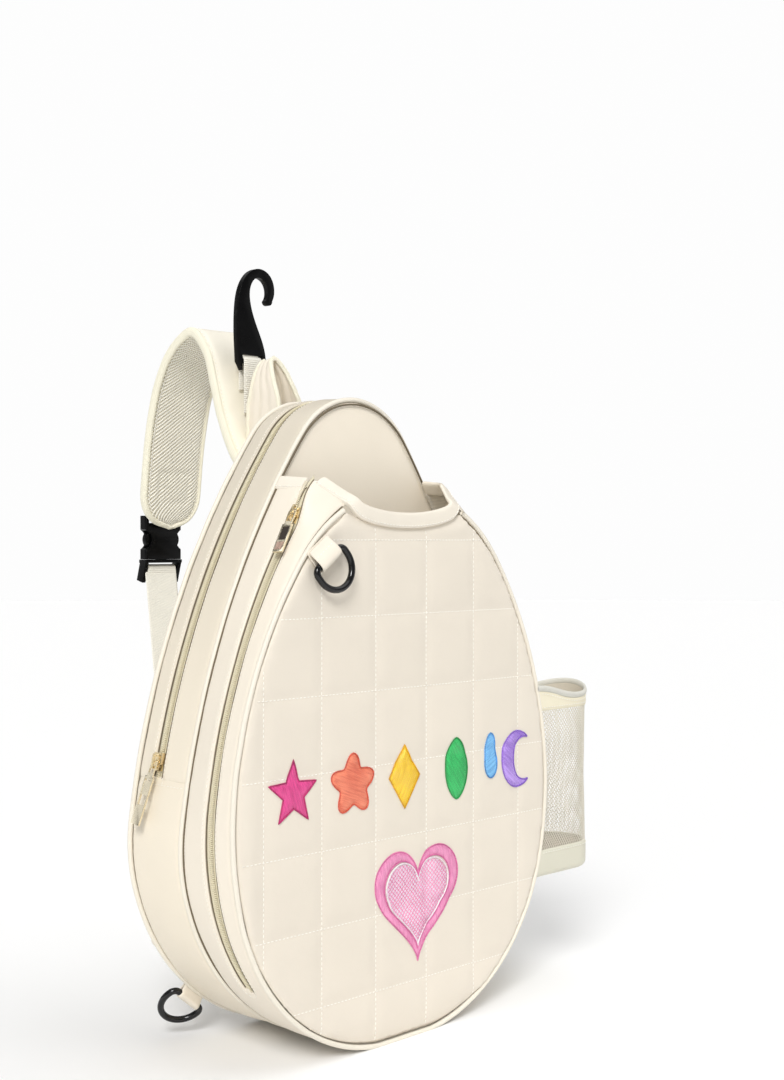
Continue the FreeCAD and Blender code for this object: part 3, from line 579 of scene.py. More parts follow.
def stitches(name, lines, pitch, length, radius, mat="thread"):
    """Runs of thread, one small pointed bead a stitch, along lines of points."""
    verts, faces = [], []
    sides = 5
    for line in lines:
        pts = resample(line, pitch * MM)
        for a, b in zip(pts, pts[1:]):
            t = (b - a)
            if t.length < 1e-6:
                continue
            t.normalize()
            side = t.orthogonal().normalized()
            up = t.cross(side)
            mid = (a + b) / 2
            base = len(verts)
            for s, r in BEAD:
                c = mid + t * (s * length * MM)
                for k in range(sides):
                    angle = 2 * math.pi * k / sides
                    verts.append(c + (side * math.cos(angle) + up * math.sin(angle)) * (r * radius * MM))
            faces += quads(len(BEAD), sides, base, close_cols=True)
            faces.append(tuple(base + k for k in reversed(range(sides))))
            faces.append(tuple(base + 4 * sides + k for k in range(sides)))
    return make(name, verts, faces, mat)


def curve_points(points, count):
    """A smooth curve through points (Catmull-Rom), as count points."""
    ext = [points[0] * 2 - points[1]] + list(points) + [points[-1] * 2 - points[-2]]
    dense = []
    for i in range(1, len(ext) - 2):
        p0, p1, p2, p3 = ext[i - 1:i + 3]
        for k in range(16):
            t = k / 16
            dense.append(0.5 * ((2 * p1) + (p2 - p0) * t + (2 * p0 - 5 * p1 + 4 * p2 - p3) * t * t
                                + (3 * p1 - p0 - 3 * p2 + p3) * t * t * t))
    dense.append(points[-1].copy())
    total = lengths(dense)[-1]
    return resample(dense, total / count)


def settle(obj, frames, pressure, cap, pins, bend, stretch):
    """Cloth filled with air, held at its pins; no point ends further than cap from its start."""
    start = [v.co.copy() for v in obj.data.vertices]
    group = obj.vertex_groups.new(name="sewn")
    for i in pins:
        group.add([i], 1.0, "REPLACE")
    cloth = obj.modifiers.new("cloth", "CLOTH")
    s = cloth.settings
    s.quality, s.mass = 5, 0.2
    s.tension_stiffness = s.compression_stiffness = stretch
    s.shear_stiffness, s.bending_stiffness = stretch / 2, bend
    s.air_damping = 5.0
    s.use_pressure = True
    s.uniform_pressure_force = pressure
    s.effector_weights.gravity = 0.0
    s.vertex_group_mass = "sewn"
    cloth.collision_settings.use_collision = False
    cloth.point_cache.frame_start, cloth.point_cache.frame_end = 1, frames
    for f in range(1, frames + 1):
        bpy.context.scene.frame_set(f)
    done = obj.evaluated_get(bpy.context.evaluated_depsgraph_get())
    ends = [v.co.copy() for v in done.data.vertices]
    obj.modifiers.remove(cloth)
    obj.vertex_groups.remove(group)
    limit = cap * MM
    for v, a, b in zip(obj.data.vertices, start, ends):
        move = b - a
        if move.length > 0:
            move *= math.tanh(move.length / limit) * limit / move.length
        v.co = a + move
    bpy.context.scene.frame_set(1)


# ---- camera, light and floor ----------------------------------------------------------------
def camera():
    data = bpy.data.cameras.new("camera")
    data.lens, data.sensor_width, data.clip_end = LENS, 36.0, 50
    cam = bpy.data.objects.new("camera", data)
    cam.location = EYE
    cam.rotation_euler = (math.radians(90), 0, math.radians(TURN))
    bpy.context.scene.collection.objects.link(cam)
    bpy.context.scene.camera = cam


def sun(name, towards, strength, spread):
    data = bpy.data.lights.new(name, "SUN")
    data.energy, data.angle = strength, math.radians(spread)
    light = bpy.data.objects.new(name, data)
    light.rotation_euler = Vector(towards).to_track_quat("-Z", "Y").to_euler()
    bpy.context.scene.collection.objects.link(light)


def studio():
    """White surroundings with four brighter panels, a key sun from the front left and a wide one
    above, over a pale floor."""
    world = bpy.data.worlds.new("studio")
    world.use_nodes = True
    tree = world.node_tree
    back = tree.nodes["Background"]
    back.inputs["Color"].default_value = (1.0, 0.998, 0.992, 1)
    direction = tree.nodes.new("ShaderNodeTexCoord").outputs["Generated"]
    level = AMBIENT
    for towards, inner, outer, gain in SOFTBOXES:
        dot = tree.nodes.new("ShaderNodeVectorMath")
        dot.operation = "DOT_PRODUCT"
        dot.inputs[1].default_value = Vector(towards).normalized()
        edge = tree.nodes.new("ShaderNodeMapRange")
        edge.interpolation_type = "SMOOTHSTEP"
        for socket, value in (("From Min", outer), ("From Max", inner), ("To Min", 0.0), ("To Max", gain)):
            edge.inputs[socket].default_value = value
        total = tree.nodes.new("ShaderNodeMath")
        tree.links.new(direction, dot.inputs[0])
        tree.links.new(dot.outputs["Value"], edge.inputs["Value"])
        tree.links.new(edge.outputs["Result"], total.inputs[0])
        if isinstance(level, float):
            total.inputs[1].default_value = level
        else:
            tree.links.new(level, total.inputs[1])
        level = total.outputs[0]
    tree.links.new(level, back.inputs["Strength"])
    seen = tree.nodes.new("ShaderNodeBackground")
    seen.inputs["Color"].default_value = (0.985, 0.985, 0.985, 1)
    path, mix = tree.nodes.new("ShaderNodeLightPath"), tree.nodes.new("ShaderNodeMixShader")
    tree.links.new(path.outputs["Is Camera Ray"], mix.inputs["Fac"])
    tree.links.new(back.outputs[0], mix.inputs[1])
    tree.links.new(seen.outputs[0], mix.inputs[2])
    tree.links.new(mix.outputs[0], tree.nodes["World Output"].inputs["Surface"])
    bpy.context.scene.world = world
    sun("key", (0.66, 0.50, -0.60), KEY, 20)
    sun("overhead", (-0.25, 0.30, -1.0), OVERHEAD, 60)
    mesh = bpy.data.meshes.new("floor")
    n, size = 64, 9.0
    edge = [(math.cos(2 * math.pi * i / n) * size, math.sin(2 * math.pi * i / n) * size, 0)
            for i in range(n)]
    mesh.from_pydata(edge, [], [tuple(range(n))])
    floor = Mat("floor_paper", (0.95, 0.95, 0.95, 1), 0.8, specular=0.05)
    at = floor.coords()
    floor.bump(floor.noise(at, 900.0, 2.0), 0.00005, 0.3)
    mesh.materials.append(floor.mat)
    obj = bpy.data.objects.new("floor", mesh)
    bpy.context.scene.collection.objects.link(obj)
    bpy.context.scene.view_settings.view_transform = "Standard"


LENS, EYE, TURN = 53.04, (-0.8869, -0.8803, 0.3786), -46.65     # mm, metres and degrees
AMBIENT, KEY, OVERHEAD = 0.25, 1.85, 1.15
# each is the way to its middle, the cosines where it is full and where it ends, and its gain
SOFTBOXES = (((-0.75, -0.45, 0.45), 0.97, 0.90, 0.9), ((0.85, -0.50, 0.35), 0.97, 0.91, 0.6),
             ((0.1, 0.6, 0.8), 0.97, 0.91, 0.6), ((-0.57, 0.80, 0.08), 0.97, 0.90, 0.55))
camera()
studio()


# ---- quilted front panel ---------------------------------------------------------------------
PANEL_IN = 2.6          # panel edge, in from the gusset's face
EDGE_CLEAR = 2.2        # room between the panel's edge and the nearest of its inner points
EDGE_SUNK = 1.4         # how far the panel's edge is pulled in by its seam
FURROW = 5.0            # how far from a row of quilting its furrow reaches
LOW_RIM = HEM - 2.0     # sewn pieces reach this little above the lower edge of the hem
PIPING_TOP = 401.0      # the front piping ends under the hem's corner


def side_rim(depth):
    """Height at which the side pieces end, under the hem, which follows their slope."""
    z = rim_z(depth)
    return z - LOW_RIM * abs(outline(v_at(z, depth), depth)[2][0])


def splay(p):
    """The corner of the pocket's side in front of its open zip stands out to the left."""
    x, depth, z = p.x / MM, p.y / MM + MID, p.z / MM
    if x > 0 or depth > POCKET_ZIP + 0.01:
        return p
    w = smooth((z - 386.0) / 36.0) * smooth((depth - 1.0) / 17.0)
    return p + Vector((-12.0, 0.0, 4.0)) * (w * MM)


def nearest_line(value, lines):
    return min(abs(value - q) for q in lines)


def quilted_panel():
    """Sewn down along the quilting, with padding pushing up between the rows."""
    step = SQUARE / 16
    edge = []
    v_top = v_at(front_rim_z(RIM_X) - LOW_RIM, 1.0)
    for v in fine(-v_top, v_top):
        x, z, _ = outline(v, 1.0, -PANEL_IN)
        edge.append((x, z))
    left, right = edge[0][0], edge[-1][0]
    for i in range(1, 33):
        x = lerp(right, left, i / 33)
        edge.append((x, front_rim_z(x) - LOW_RIM))
    inner = []
    zs = [z for _, z in edge]
    # a grid with a line under every row of quilting, kept clear of the panel's edge
    for i in range(-52, 60):
        x = QUILT_X[3] + step * i
        for j in range(-6, 112):
            z = QUILT_Z[0] + step * j
            if not (min(zs) + 2 < z < max(zs) - 2):
                continue
            half = outline(v_at(max(z, 0.5), 1.0), 1.0, -PANEL_IN)[0]
            if abs(x) > half - EDGE_CLEAR or z - PANEL_IN < 2.0:
                continue
            if abs(x) < RIM_X + 6 and z > front_rim_z(x) - LOW_RIM - EDGE_CLEAR:
                continue
            inner.append((x, z))
    coords = [Vector(p) for p in edge + inner]
    loop = [(i, (i + 1) % len(edge)) for i in range(len(edge))]
    co, _, tris, *_ = delaunay_2d_cdt(coords, loop, [], 1, 1e-4)
    bm = bmesh.new()
    verts = [bm.verts.new(vec(p.x, 0.6, p.y)) for p in co]
    for t in tris:
        bm.faces.new([verts[i] for i in t])
    bmesh.ops.join_triangles(bm, faces=bm.faces, angle_face_threshold=3.1, angle_shape_threshold=0.6)
    bm.normal_update()
    if sum(f.normal.y for f in bm.faces) > 0:
        bmesh.ops.reverse_faces(bm, faces=bm.faces)
    mesh = bpy.data.meshes.new("quilted_panel")
    bm.to_mesh(mesh)
    rim_edge = {v.index for v in bm.verts if any(e.is_boundary for e in v.link_edges)}
    bm.free()
    mesh.materials.append(M["panel"])
    obj = bpy.data.objects.new("quilted_panel", mesh)
    bpy.context.scene.collection.objects.link(obj)
    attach(obj, "bag")
    pins = []
    for v in mesh.vertices:
        x, z = v.co.x / MM, v.co.z / MM
        if v.index in rim_edge or nearest_line(x, QUILT_X) < 0.4 or nearest_line(z, QUILT_Z) < 0.4:
            pins.append(v.index)
    settle(obj, 16, 2.2, 2.6, pins, bend=0.4, stretch=14.0)
    for v in mesh.vertices:
        x, z = v.co.x / MM, v.co.z / MM
        gx, gz = nearest_line(x, QUILT_X), nearest_line(z, QUILT_Z)
        pad = (1 - math.exp(-(gx / FURROW) ** 1.6)) * (1 - math.exp(-(gz / FURROW) ** 1.6))
        pucker = (0.16 * math.sin(z * 0.95 + 2 * wave((x, z, 0), 30)) * math.exp(-(gx / 7.0) ** 2)
                  + 0.16 * math.sin(x * 0.95 + 2 * wave((x, z, 9), 30)) * math.exp(-(gz / 7.0) ** 2))
        broad = 0.7 * wave((x, 0, z), 110, 3) + 0.25 * wave((x, 0, z), 26, 5)
        lift = 0.95 * pad + pucker + broad * 0.6
        under_hem = front_rim_z(x) - z if abs(x) < RIM_X + 20 else 60.0
        lift = lerp(-EDGE_SUNK, lift, smooth((under_hem - HEM + 1.5) / 10.0))
        if v.index in rim_edge:
            lift = -EDGE_SUNK
        v.co.y -= lift * MM
    for p in mesh.polygons:
        p.use_smooth = True
    thicken(obj, 2.6, -1.0, "lining", levels=1)
    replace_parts(obj, "front_panel")
    return obj


def quilt_height(panel):
    """Height of the finished panel's outer face under any point, for what is sewn on it."""
    tree = BVHTree.FromPolygons([v.co.copy() for v in panel.data.vertices],
                                [tuple(p.vertices) for p in panel.data.polygons])

    def y_at(x, z):
        hit = tree.ray_cast(Vector((x * MM, -0.12, z * MM)), Vector((0, 1, 0)))[0]
        return hit.y if hit is not None else -0.0585

    return y_at


panel = quilted_panel()
panel_y = quilt_height(panel)


def inside_panel(x, z):
    """Whether a point of the panel shows, clear of its seam and of the hem."""
    if z < 4 or z > 400 or abs(x) > outline(v_at(z, 1.0), 1.0, -5.0)[0]:
        return False
    return abs(x) > RIM_X + 20 or z < front_rim_z(min(abs(x), RIM_X)) - HEM - 2


def on_panel(x, z, off=0.12):
    return Vector((x * MM, panel_y(x, z) - off * MM, z * MM))


def quilt_lines():
    lines = []
    for q in QUILT_X:
        lines.append([on_panel(q, z) for z in range(6, 398, 2) if inside_panel(q, z)])
    for q in QUILT_Z:
        lines.append([on_panel(x, q) for x in range(-176, 177, 2) if inside_panel(x, q)])
    return [run for run in lines if len(run) > 4]


stitches("quilt_stitching", quilt_lines(), 3.6, 2.4, 0.31)


# ---- gussets -----------------------------------------------------------------------------------
def gusset_relief(d0, d1, bulge=1.1, slots=(), seed=1.0, sink=1.5):
    """How far a gusset stands off the plain body: rolled in at its edges, soft between."""
    def off(v, d, x, z):
        t = (d - d0) / (d1 - d0)
        rise = bulge * math.sin(math.pi * min(max(t, 0), 1)) if abs(v) > 1.3 else 0.0
        for edge in (d0, d1):
            rise -= sink * math.exp(-(abs(d - edge) / 1.6) ** 2)
        for s in slots:
            near = abs(abs(d - s) - SLOT)
            rise -= 0.9 * math.exp(-(near / 1.0) ** 2)
            rise += 0.35 * math.exp(-((near - 4.0) / 1.6) ** 2)
        rise += 0.45 * wave((x, d * 2.2, z), 46, seed) + 0.16 * wave((x, d * 2, z), 14, seed)
        near_edge = math.exp(-(min(abs(d - d0), abs(d - d1)) / 5) ** 2)
        rise += 0.12 * math.sin(v * 130 + 3 * wave((x, d, z), 40, seed)) * near_edge
        return rise
    return off


def on_relief(relief, v, d, lift=0.0):
    return surf(v, d, relief(v, d, *outline(v, d)[:2]) + lift)


def wall(name, node, grid, mat, keep=None):
    """A wall of the bag: lined, sewn to its neighbours and slightly soft."""
    obj = sheet_mesh(name, grid, mat, keep=keep, outward=away_from_axis)
    edit(obj, drop_loose)
    thicken(obj, WALL_THICK, -1.0, "lining", levels=1)
    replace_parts(obj, node)


def gusset(name, node, depths, v_ends, relief, mat, keep=lambda v, d, z: True):
    """A wall between two ends that may differ with the depth; keep says where it is whole."""
    v0, v1 = v_ends(depths[0])
    shares = [(m - v0) / (v1 - v0) for m in fine(v0, v1)]
    vs = []
    for d in depths:
        a, b = v_ends(d)
        vs.append([a + (b - a) * share for share in shares])

    def whole(i, j):
        d, v = (depths[i] + depths[i + 1]) / 2, (vs[i][j] + vs[i][j + 1]) / 2
        return keep(v, d, outline(v, d)[1])

    grid = [[splay(on_relief(relief, v, d)) for v in row] for d, row in zip(depths, vs)]
    wall(name, node, grid, mat, whole)


WALL_THICK = 2.2
FRONT_EDGE, SEAM_FRONT = 4.4, 55.4


def pocket_ends(d):
    v = v_at(side_rim(d), d)
    return -v, v


def not_pocket_slot(v, d, z):
    return not (v < 0 and abs(d - POCKET_ZIP) < SLOT and z > POCKET_ZIP_END)


pocket_rows = [FRONT_EDGE, 5.0, 6.0, 7.5, 10, 13, 16, 18, 19.2, POCKET_ZIP - SLOT, 22.5, 25,
               27.5, POCKET_ZIP + SLOT, 30.8, 32.0, 34.5, 38, 42, 46, 50, 52.5, 54, 54.9, SEAM_FRONT]
pocket_relief = gusset_relief(FRONT_EDGE, SEAM_FRONT, 1.3, (POCKET_ZIP,), 1.0)


def pocket_off(v, d, x, z):
    rise = pocket_relief(v, d, x, z)
    if v > 0 or z < POCKET_ZIP_END - 2:      # no slot there, so the wall is whole
        near = abs(abs(d - POCKET_ZIP) - SLOT)
        rise += 0.9 * math.exp(-near ** 2) - 0.35 * math.exp(-((near - 4.0) / 1.6) ** 2)
    return rise


gusset("pocket_gusset", "front_gusset", pocket_rows, pocket_ends, pocket_off, "gusset", not_pocket_slot)

REAR_FRONT, REAR_EDGE = 60.2, 113.9
main_rows_front = [REAR_FRONT, 60.8, 62, 64, 67, 71, 75, 79, 82, 84.2, 85.2, MAIN_ZIP - SLOT]
main_rows_rear = [MAIN_ZIP + SLOT, 96.8, 98, 100, 103, 106, 109, 111, 112.4, 113.2, REAR_EDGE]
v_cross = v_at(MAIN_ZIP_END, 80.0)
front_relief = gusset_relief(REAR_FRONT, 102.0, 0.9, (MAIN_ZIP,), 2.0)
rear_relief = gusset_relief(80.0, REAR_EDGE, 0.9, (MAIN_ZIP,), 3.0)


def upper_path(depth_rows, relief, name, node):
    """A strip over the top of the main compartment, from one cross seam to the other."""
    marks = fine(v_cross, 5.0)
    grid = []
    for d in depth_rows:
        row = []
        for v in [-m for m in marks] + marks[-2::-1]:
            edge = 0.45 * math.exp(-(abs(abs(v) - v_cross) * 90) ** 2)
            row.append(on_relief(relief, v, d, -edge))
        grid.append(row)
    wall(name, node, grid, "gusset_main")


upper_path(main_rows_front, front_relief, "main_gusset_front", "main_zip_front_strip")
upper_path(main_rows_rear, rear_relief, "main_gusset_rear", "main_zip_rear_strip")

low_rows = [REAR_FRONT, 60.8, 62, 64, 67, 71, 76, 81, 86, 91, 96, 101, 105, 109, 111, 112.4, 113.2,
            REAR_EDGE]
low_relief_base = gusset_relief(REAR_FRONT, REAR_EDGE, 1.4, (), 4.0)


def low_relief(v, d, x, z):
    return low_relief_base(v, d, x, z) - 1.1 * smooth((abs(v) - v_cross + 0.006) / 0.006)


gusset("main_gusset_lower", "main_gusset_bottom", low_rows,
       lambda d: (-v_cross - 0.01, v_cross + 0.01), low_relief, "gusset_main")


# ---- piping --------------------------------------------------------------------------------------
def seam_marks(v0, v1):
    """Marks between two ends, and whether they go all the way round."""
    closed = v0 <= -5.0
    marks = fine(v0, v1)
    return (marks[:-1] if closed else marks), closed


def piping(name, node, depth, v_range, radius):
    marks, closed = seam_marks(*v_range)
    pts = []
    for v in marks:
        x, z, _ = outline(v, depth)
        wob = 0.18 * wave((x, depth, z), 22, depth)
        pts.append(surf(v, depth + wob, wob - 0.6))
    obj = tube_along(name, pts, radius, "piping", 12, [normal_at(v, depth) for v in marks], closed=closed)
    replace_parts(obj, node)


v_front_rim = v_at(PIPING_TOP, 2.6)
piping("front_piping_cord", "front_piping", 2.5, (-v_front_rim, v_front_rim), 1.95)
piping("seam_piping_cord", "seam_piping", 57.8, (-5.0, 5.0), 2.0)
piping("rear_piping_cord", "rear_piping", 116.0, (-5.0, 5.0), 2.0)


def dyed_edge(name, depth, v_range, radius, off):
    """Dark cord beside a zip or a piping: painted shadow, standing for the shadow gap along that edge."""
    marks, closed = seam_marks(*v_range)
    pts = [splay(surf(v, depth, off + 0.12 * wave((v * 40, depth, 0), 9, 81))) for v in marks]
    tube_along(name, pts, radius, "dye", 6, [normal_at(v, depth) for v in marks], closed=closed)


# painted shadow lines where the gussets meet the front and seam pipings
dyed_edge("front_edge_dye", 4.35, (-v_front_rim, v_front_rim), 0.42, -0.75)
dyed_edge("seam_edge_dye_front", 55.5, (-5.0, 5.0), 0.8, -1.15)
dyed_edge("seam_edge_dye_rear", 60.1, (-5.0, 5.0), 0.42, -1.0)


# ---- folded hem round the opening ----------------------------------------------------------------
def rim_path():
    """Rim points with their outward normal and the way down the cloth, from the seam on the left
    round the front to the seam on the right."""
    def side_point(d):
        x, z, n = outline(v_at(rim_z(d), d), d)
        n3 = Vector((n[0], 0, n[1]))
        down = Vector((n[1], 0, -abs(n[0])))
        return Vector((x, d, z)), n3, down

    turn = 5.0
    half = [side_point(d) for d in (56.0 - 2.0 * i for i in range(26)) if d > turn]
    base = side_point(turn)
    for i in range(7):
        a = math.pi / 2 * i / 6
        out = base[1] * math.cos(a) + Vector((0, -1, 0)) * math.sin(a)
        p = base[0] - base[1] * turn + out * (turn + 0.4 * math.sin(a))
        half.append((p, out, base[2].copy()))
    last = half[-1][0]
    x_from = last.x - 2.5
    for i in range(25):
        x = x_from * (1 - i / 24)
        slope = x / RIM_R
        down = Vector((slope, 0, -1)).normalized()
        lift = (last.z - front_rim_z(last.x)) * math.exp(-(x_from - x) / 6.0)
        half.append((Vector((x, -0.4, front_rim_z(x) + lift)), Vector((0, -1, 0)), down))
    flip = Matrix.Diagonal((-1, 1, 1))
    other = [tuple(flip @ a for a in point) for point in half[:-1]]
    path = other + list(reversed(half))
    for _ in range(5):
        path = [path[0]] + [tuple((a[k] + 2 * b[k] + c[k]) / 4 for k in range(3))
                            for a, b, c in zip(path, path[1:], path[2:])] + [path[-1]]
    return path


HEM_SECTION = ((12.0, -0.2), (12.0, 0.6), (11.4, 1.15), (9.5, 1.3), (6.5, 1.35), (3.5, 1.35),
               (1.4, 1.15), (0.3, 0.45), (0.0, -0.8), (0.3, -2.2), (1.6, -2.95), (5.0, -3.1),
               (9.5, -3.1), (11.6, -2.9), (12.0, -2.3), (12.0, -1.4))


def close_ends(bm):
    """Closes both ends of the hem's tube."""
    m = len(HEM_SECTION)
    bm.verts.ensure_lookup_table()
    total = len(bm.verts)
    bm.faces.new([bm.verts[k] for k in range(m)])
    bm.faces.new([bm.verts[total - m + k] for k in range(m)])
    face_out(bm)
    for f in bm.faces:
        f.smooth = True


def hem_part(points, name):
    grid = []
    for p, n, down in points:
        n, down = n.normalized(), down.normalized()
        row = []
        sway = 0.5 * wave(tuple(p), 30, 8)
        for a, b in HEM_SECTION:
            soft = 0.35 * wave((p.x, p.y * 2, p.z + a * 2), 16, 9)
            q = p + down * a + n * (b + sway * (1 - a / HEM) + (soft if b > 0 else 0))
            row.append(splay(vec(*q)))
        grid.append(row)
    obj = sheet_mesh(name, grid, "hem", close=True)
    edit(obj, close_ends)
    soften(obj)
    return obj


def hem():
    """The folded hem, in two parts because the pocket's zip opens between them."""
    path = rim_path()
    rear_left = [q for q in path if q[0].x < 0 and q[0].y > POCKET_ZIP + SLOT + 1.0]
    front = [q for q in path if q[0].x > 0 or q[0].y < POCKET_ZIP - SLOT - 1.0]
    a = hem_part(front, "opening_hem_front")
    b = hem_part(rear_left, "opening_hem_rear")
    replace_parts(a, "opening_hem")
    lines = [[splay(vec(*(p + down.normalized() * 10.2 + n.normalized() * 1.55))) for p, n, down in part]
             for part in (front, rear_left)]
    stitches("hem_stitching", lines, 3.4, 2.5, 0.27)


hem()


# ---- flat faces of the compartments ---------------------------------------------------------------
def facing(name, node, depth, inset, mat, crown, seed, look):
    """A panel that fills the outline: rows across at each height, with a soft crown."""
    marks = sorted(set([m for m in fine(0.0, 5.0) if m >= 1.0][::2] + [5.0]))
    grid = []
    for v in marks:
        half, z, _ = outline(min(v, 4.985), depth, -inset)      # stops short of the outline's tip
        row = []
        for share in across(44):
            x = half * share
            edge = min(half - abs(x), z - 2, 492 - z)
            lift = crown * smooth(edge / 60) - 0.8 * math.exp(-(max(edge, 0) / 2.5) ** 2)
            lift += 0.5 * wave((x, 0, z), 90, seed) + 0.15 * wave((x, 0, z), 24, seed)
            row.append(vec(x, depth + look * lift, z))
        grid.append(row)
    obj = sheet_mesh(name, grid, mat, outward=lambda p: Vector((0, look, 0)))
    thicken(obj, WALL_THICK, -1.0, "lining", levels=1)
    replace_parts(obj, node)


facing("divider_face", "divider_panel", 57.0, 1.5, "divider", 0.9, 11, -1)
facing("back_face", "back_panel", 118.2, 2.4, "gusset", 0.8, 12, 1)


def sleeve():
    """Open-topped sleeve sewn to the divider inside the rear compartment: slack cloth."""
    face, inset, low, high, rows = 62.0, 17.0, 70.0, 260.0, 26
    grid = []
    for k in range(rows + 1):
        z = lerp(low, high, k / rows)
        half = outline(v_at(z, face), face, -inset)[0]
        row = []
        for share in across(34):
            x = half * share
            lift = 0.8 * smooth(min(half - abs(x), z - low) / 40)
            row.append(vec(x, face + lift * (0.8 + 0.5 * wave((x, 0, z), 60, 21)), z))
        grid.append(row)
    obj = sheet_mesh("slip_sleeve", grid, "lining", outward=look_back)
    thicken(obj, 1.2, -1.0)
    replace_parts(obj, "slip_pocket")


sleeve()


def cushion(side):
    """Half of the back padding, swollen between its sewn edge and two sewn channels."""
    z0, z1, inner, margin = 97.0, 403.0, 10.5, 27.5
    rows, cols = 78, 32
    channels = (198.0, 300.0)

    def half(z):
        return outline(v_at(z, 118.0), 118.0)[0] - margin

    grid, pins, k = [], [], 0
    for i in range(rows + 1):
        z = lerp(z0, z1, i / rows)
        end = min(z - z0, z1 - z)
        pull_in = 12.0 * (1 - math.sqrt(max(0.0, 1 - (1 - min(end / 12.0, 1.0)) ** 2)))
        a, b = inner + pull_in * 0.8, half(z) - pull_in * 1.2
        row = []
        for j in range(cols + 1):
            x = lerp(a, b, j / cols)
            edge = min(x - a, b - x, end)
            rise = 5.0 * smooth(edge / 9.0)
            near = min(abs(z - c) for c in channels)
            sewn = near < (z1 - z0) / rows * 0.6
            if i in (0, rows) or j in (0, cols) or sewn:
                pins.append(k)
            if sewn:
                rise = min(rise, 2.2)
            row.append(vec(side * x, 119.4 + rise, z))
            k += 1
        grid.append(row)
    obj = sheet_mesh("back_cushion_" + ("right" if side > 0 else "left"), grid, "air",
                     outward=look_back)
    settle(obj, 16, 3.0, 2.6, pins, bend=0.5, stretch=14.0)
    for v in obj.data.vertices:
        v.co.y += 0.3 * MM * wave(tuple(c / MM for c in v.co), 30, 15 + side)
    thicken(obj, 1.2, -1.0, levels=1)
    rim = [grid[0][j] for j in range(cols + 1)] + [grid[i][cols] for i in range(1, rows + 1)]
    rim += [grid[rows][j] for j in range(cols - 1, -1, -1)] + [grid[i][0] for i in range(rows - 1, 0, -1)]
    rim = [p + Vector((0, 0.5 * MM, 0)) for p in rim]
    tube_along(obj.name + "_edge", rim, 1.7, "piping", 10, closed=True)
    lines = []
    for c in channels:
        b = half(c)
        lines.append([vec(side * lerp(inner + 3, b - 3, t / 20), 122.0, c) for t in range(21)])
    stitches(obj.name + "_stitching", lines, 3.6, 2.6, 0.3)
    return obj


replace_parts(cushion(1), "back_pad")
cushion(-1)


# ---- zips --------------------------------------------------------------------------------------------
def tape_strip(name, node, depth, marks):
    half = 6.2
    grid = [[surf(v, depth + half * share, -1.2 - 0.15 * abs(share)) for v in marks] for share in across(4)]
    obj = sheet_mesh(name, grid, "tape", outward=away_from_axis)
    thicken(obj, 0.7, -1.0)
    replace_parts(obj, node)


def coil_rows(name, node, depth, marks, spread=None):
    """Two rows of coil turns that meet in the middle; spread opens them past the slider."""
    line = [surf(v, depth, -0.4) for v in marks]
    outs = [normal_at(v, depth) for v in marks]
    along = lengths(line)
    verts, faces = [], []
    pitch = 1.35
    n = int(along[-1] / (pitch * MM))
    k = 0
    for i in range(n):
        s = along[-1] * (i + 0.5) / n
        while k < len(line) - 2 and along[k + 1] < s:
            k += 1
        f = (s - along[k]) / (along[k + 1] - along[k])
        p, up = line[k].lerp(line[k + 1], f), outs[k].lerp(outs[k + 1], f).normalized()
        t = (line[k + 1] - line[k]).normalized()
        gap = spread(p) if spread is not None else 0.0
        for side in (-1, 1):
            mid = p + Vector((0, side * gap * MM, 0)) + t * (side * pitch * 0.25 * MM)
            base = len(verts)
            shape = ((0.25 * -side, 0.0, 0.30), (side * 0.2, 0.62, 0.34),
                     (side * 1.2, 0.72, 0.36), (side * 2.1, 0.1, 0.30))
            for y, z, r in shape:
                for c, q in ((0, 1), (1, 0), (0, -1), (-1, 0)):
                    at = mid + Vector((0, y * MM, 0)) + up * ((z + q * r) * MM) + t * (c * r * 1.25 * MM)
                    verts.append(splay(at) if spread is not None and side < 0 else at)
            faces += quads(len(shape), 4, base, close_cols=True)
            faces += [(base, base + 3, base + 2, base + 1), (base + 12, base + 13, base + 14, base + 15)]
    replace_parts(make(name, verts, faces, "coil"), node)


v_zip_low, v_zip_high = v_at(POCKET_ZIP_END - 3, POCKET_ZIP), v_at(rim_z(POCKET_ZIP) - 6.5, POCKET_ZIP)
pocket_marks = [-v for v in fine(v_zip_low, v_zip_high)]


def split(p):
    """Half of the gap between the two rows of coil above the pocket's slider."""
    return 2.9 * smooth((p.z / MM - POCKET_SLIDER - 2) / 20.0)


def pocket_tape():
    """The tape's two halves, which part above the slider."""
    verts, faces, uvs = [], [], []
    for side in (-1, 1):
        rows = []
        for k in range(4):
            row = []
            for v in pocket_marks:
                gap = split(Vector((0, 0, outline(v, POCKET_ZIP)[1] * MM)))
                d = POCKET_ZIP + side * lerp(gap + 0.05, 6.3, k / 3)
                p = surf(v, d, -1.2 + 0.2 * (gap > 0) * (1 - k / 3))
                row.append(splay(p) if side < 0 else p)
            rows.append(row)
        along = lengths(rows[0])
        faces += quads(4, len(along), len(verts))
        for i, row in enumerate(rows):
            verts += row
            uvs += [(u, i * 0.0021) for u in along]
    obj = make("pocket_tape", verts, faces, "tape", uvs)
    thicken(obj, 0.6, 0.0)
    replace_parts(obj, "pocket_zip_tape")


pocket_tape()
coil_rows("pocket_coil", "pocket_zip_coil", POCKET_ZIP, pocket_marks, split)

main_side = fine(v_cross - 0.01, 5.0)
main_marks = [-v for v in main_side] + list(reversed(main_side))[1:]
tape_strip("main_tape", "main_zip_tape", MAIN_ZIP, main_marks)
coil_rows("main_coil", "main_zip_coil", MAIN_ZIP, main_marks)


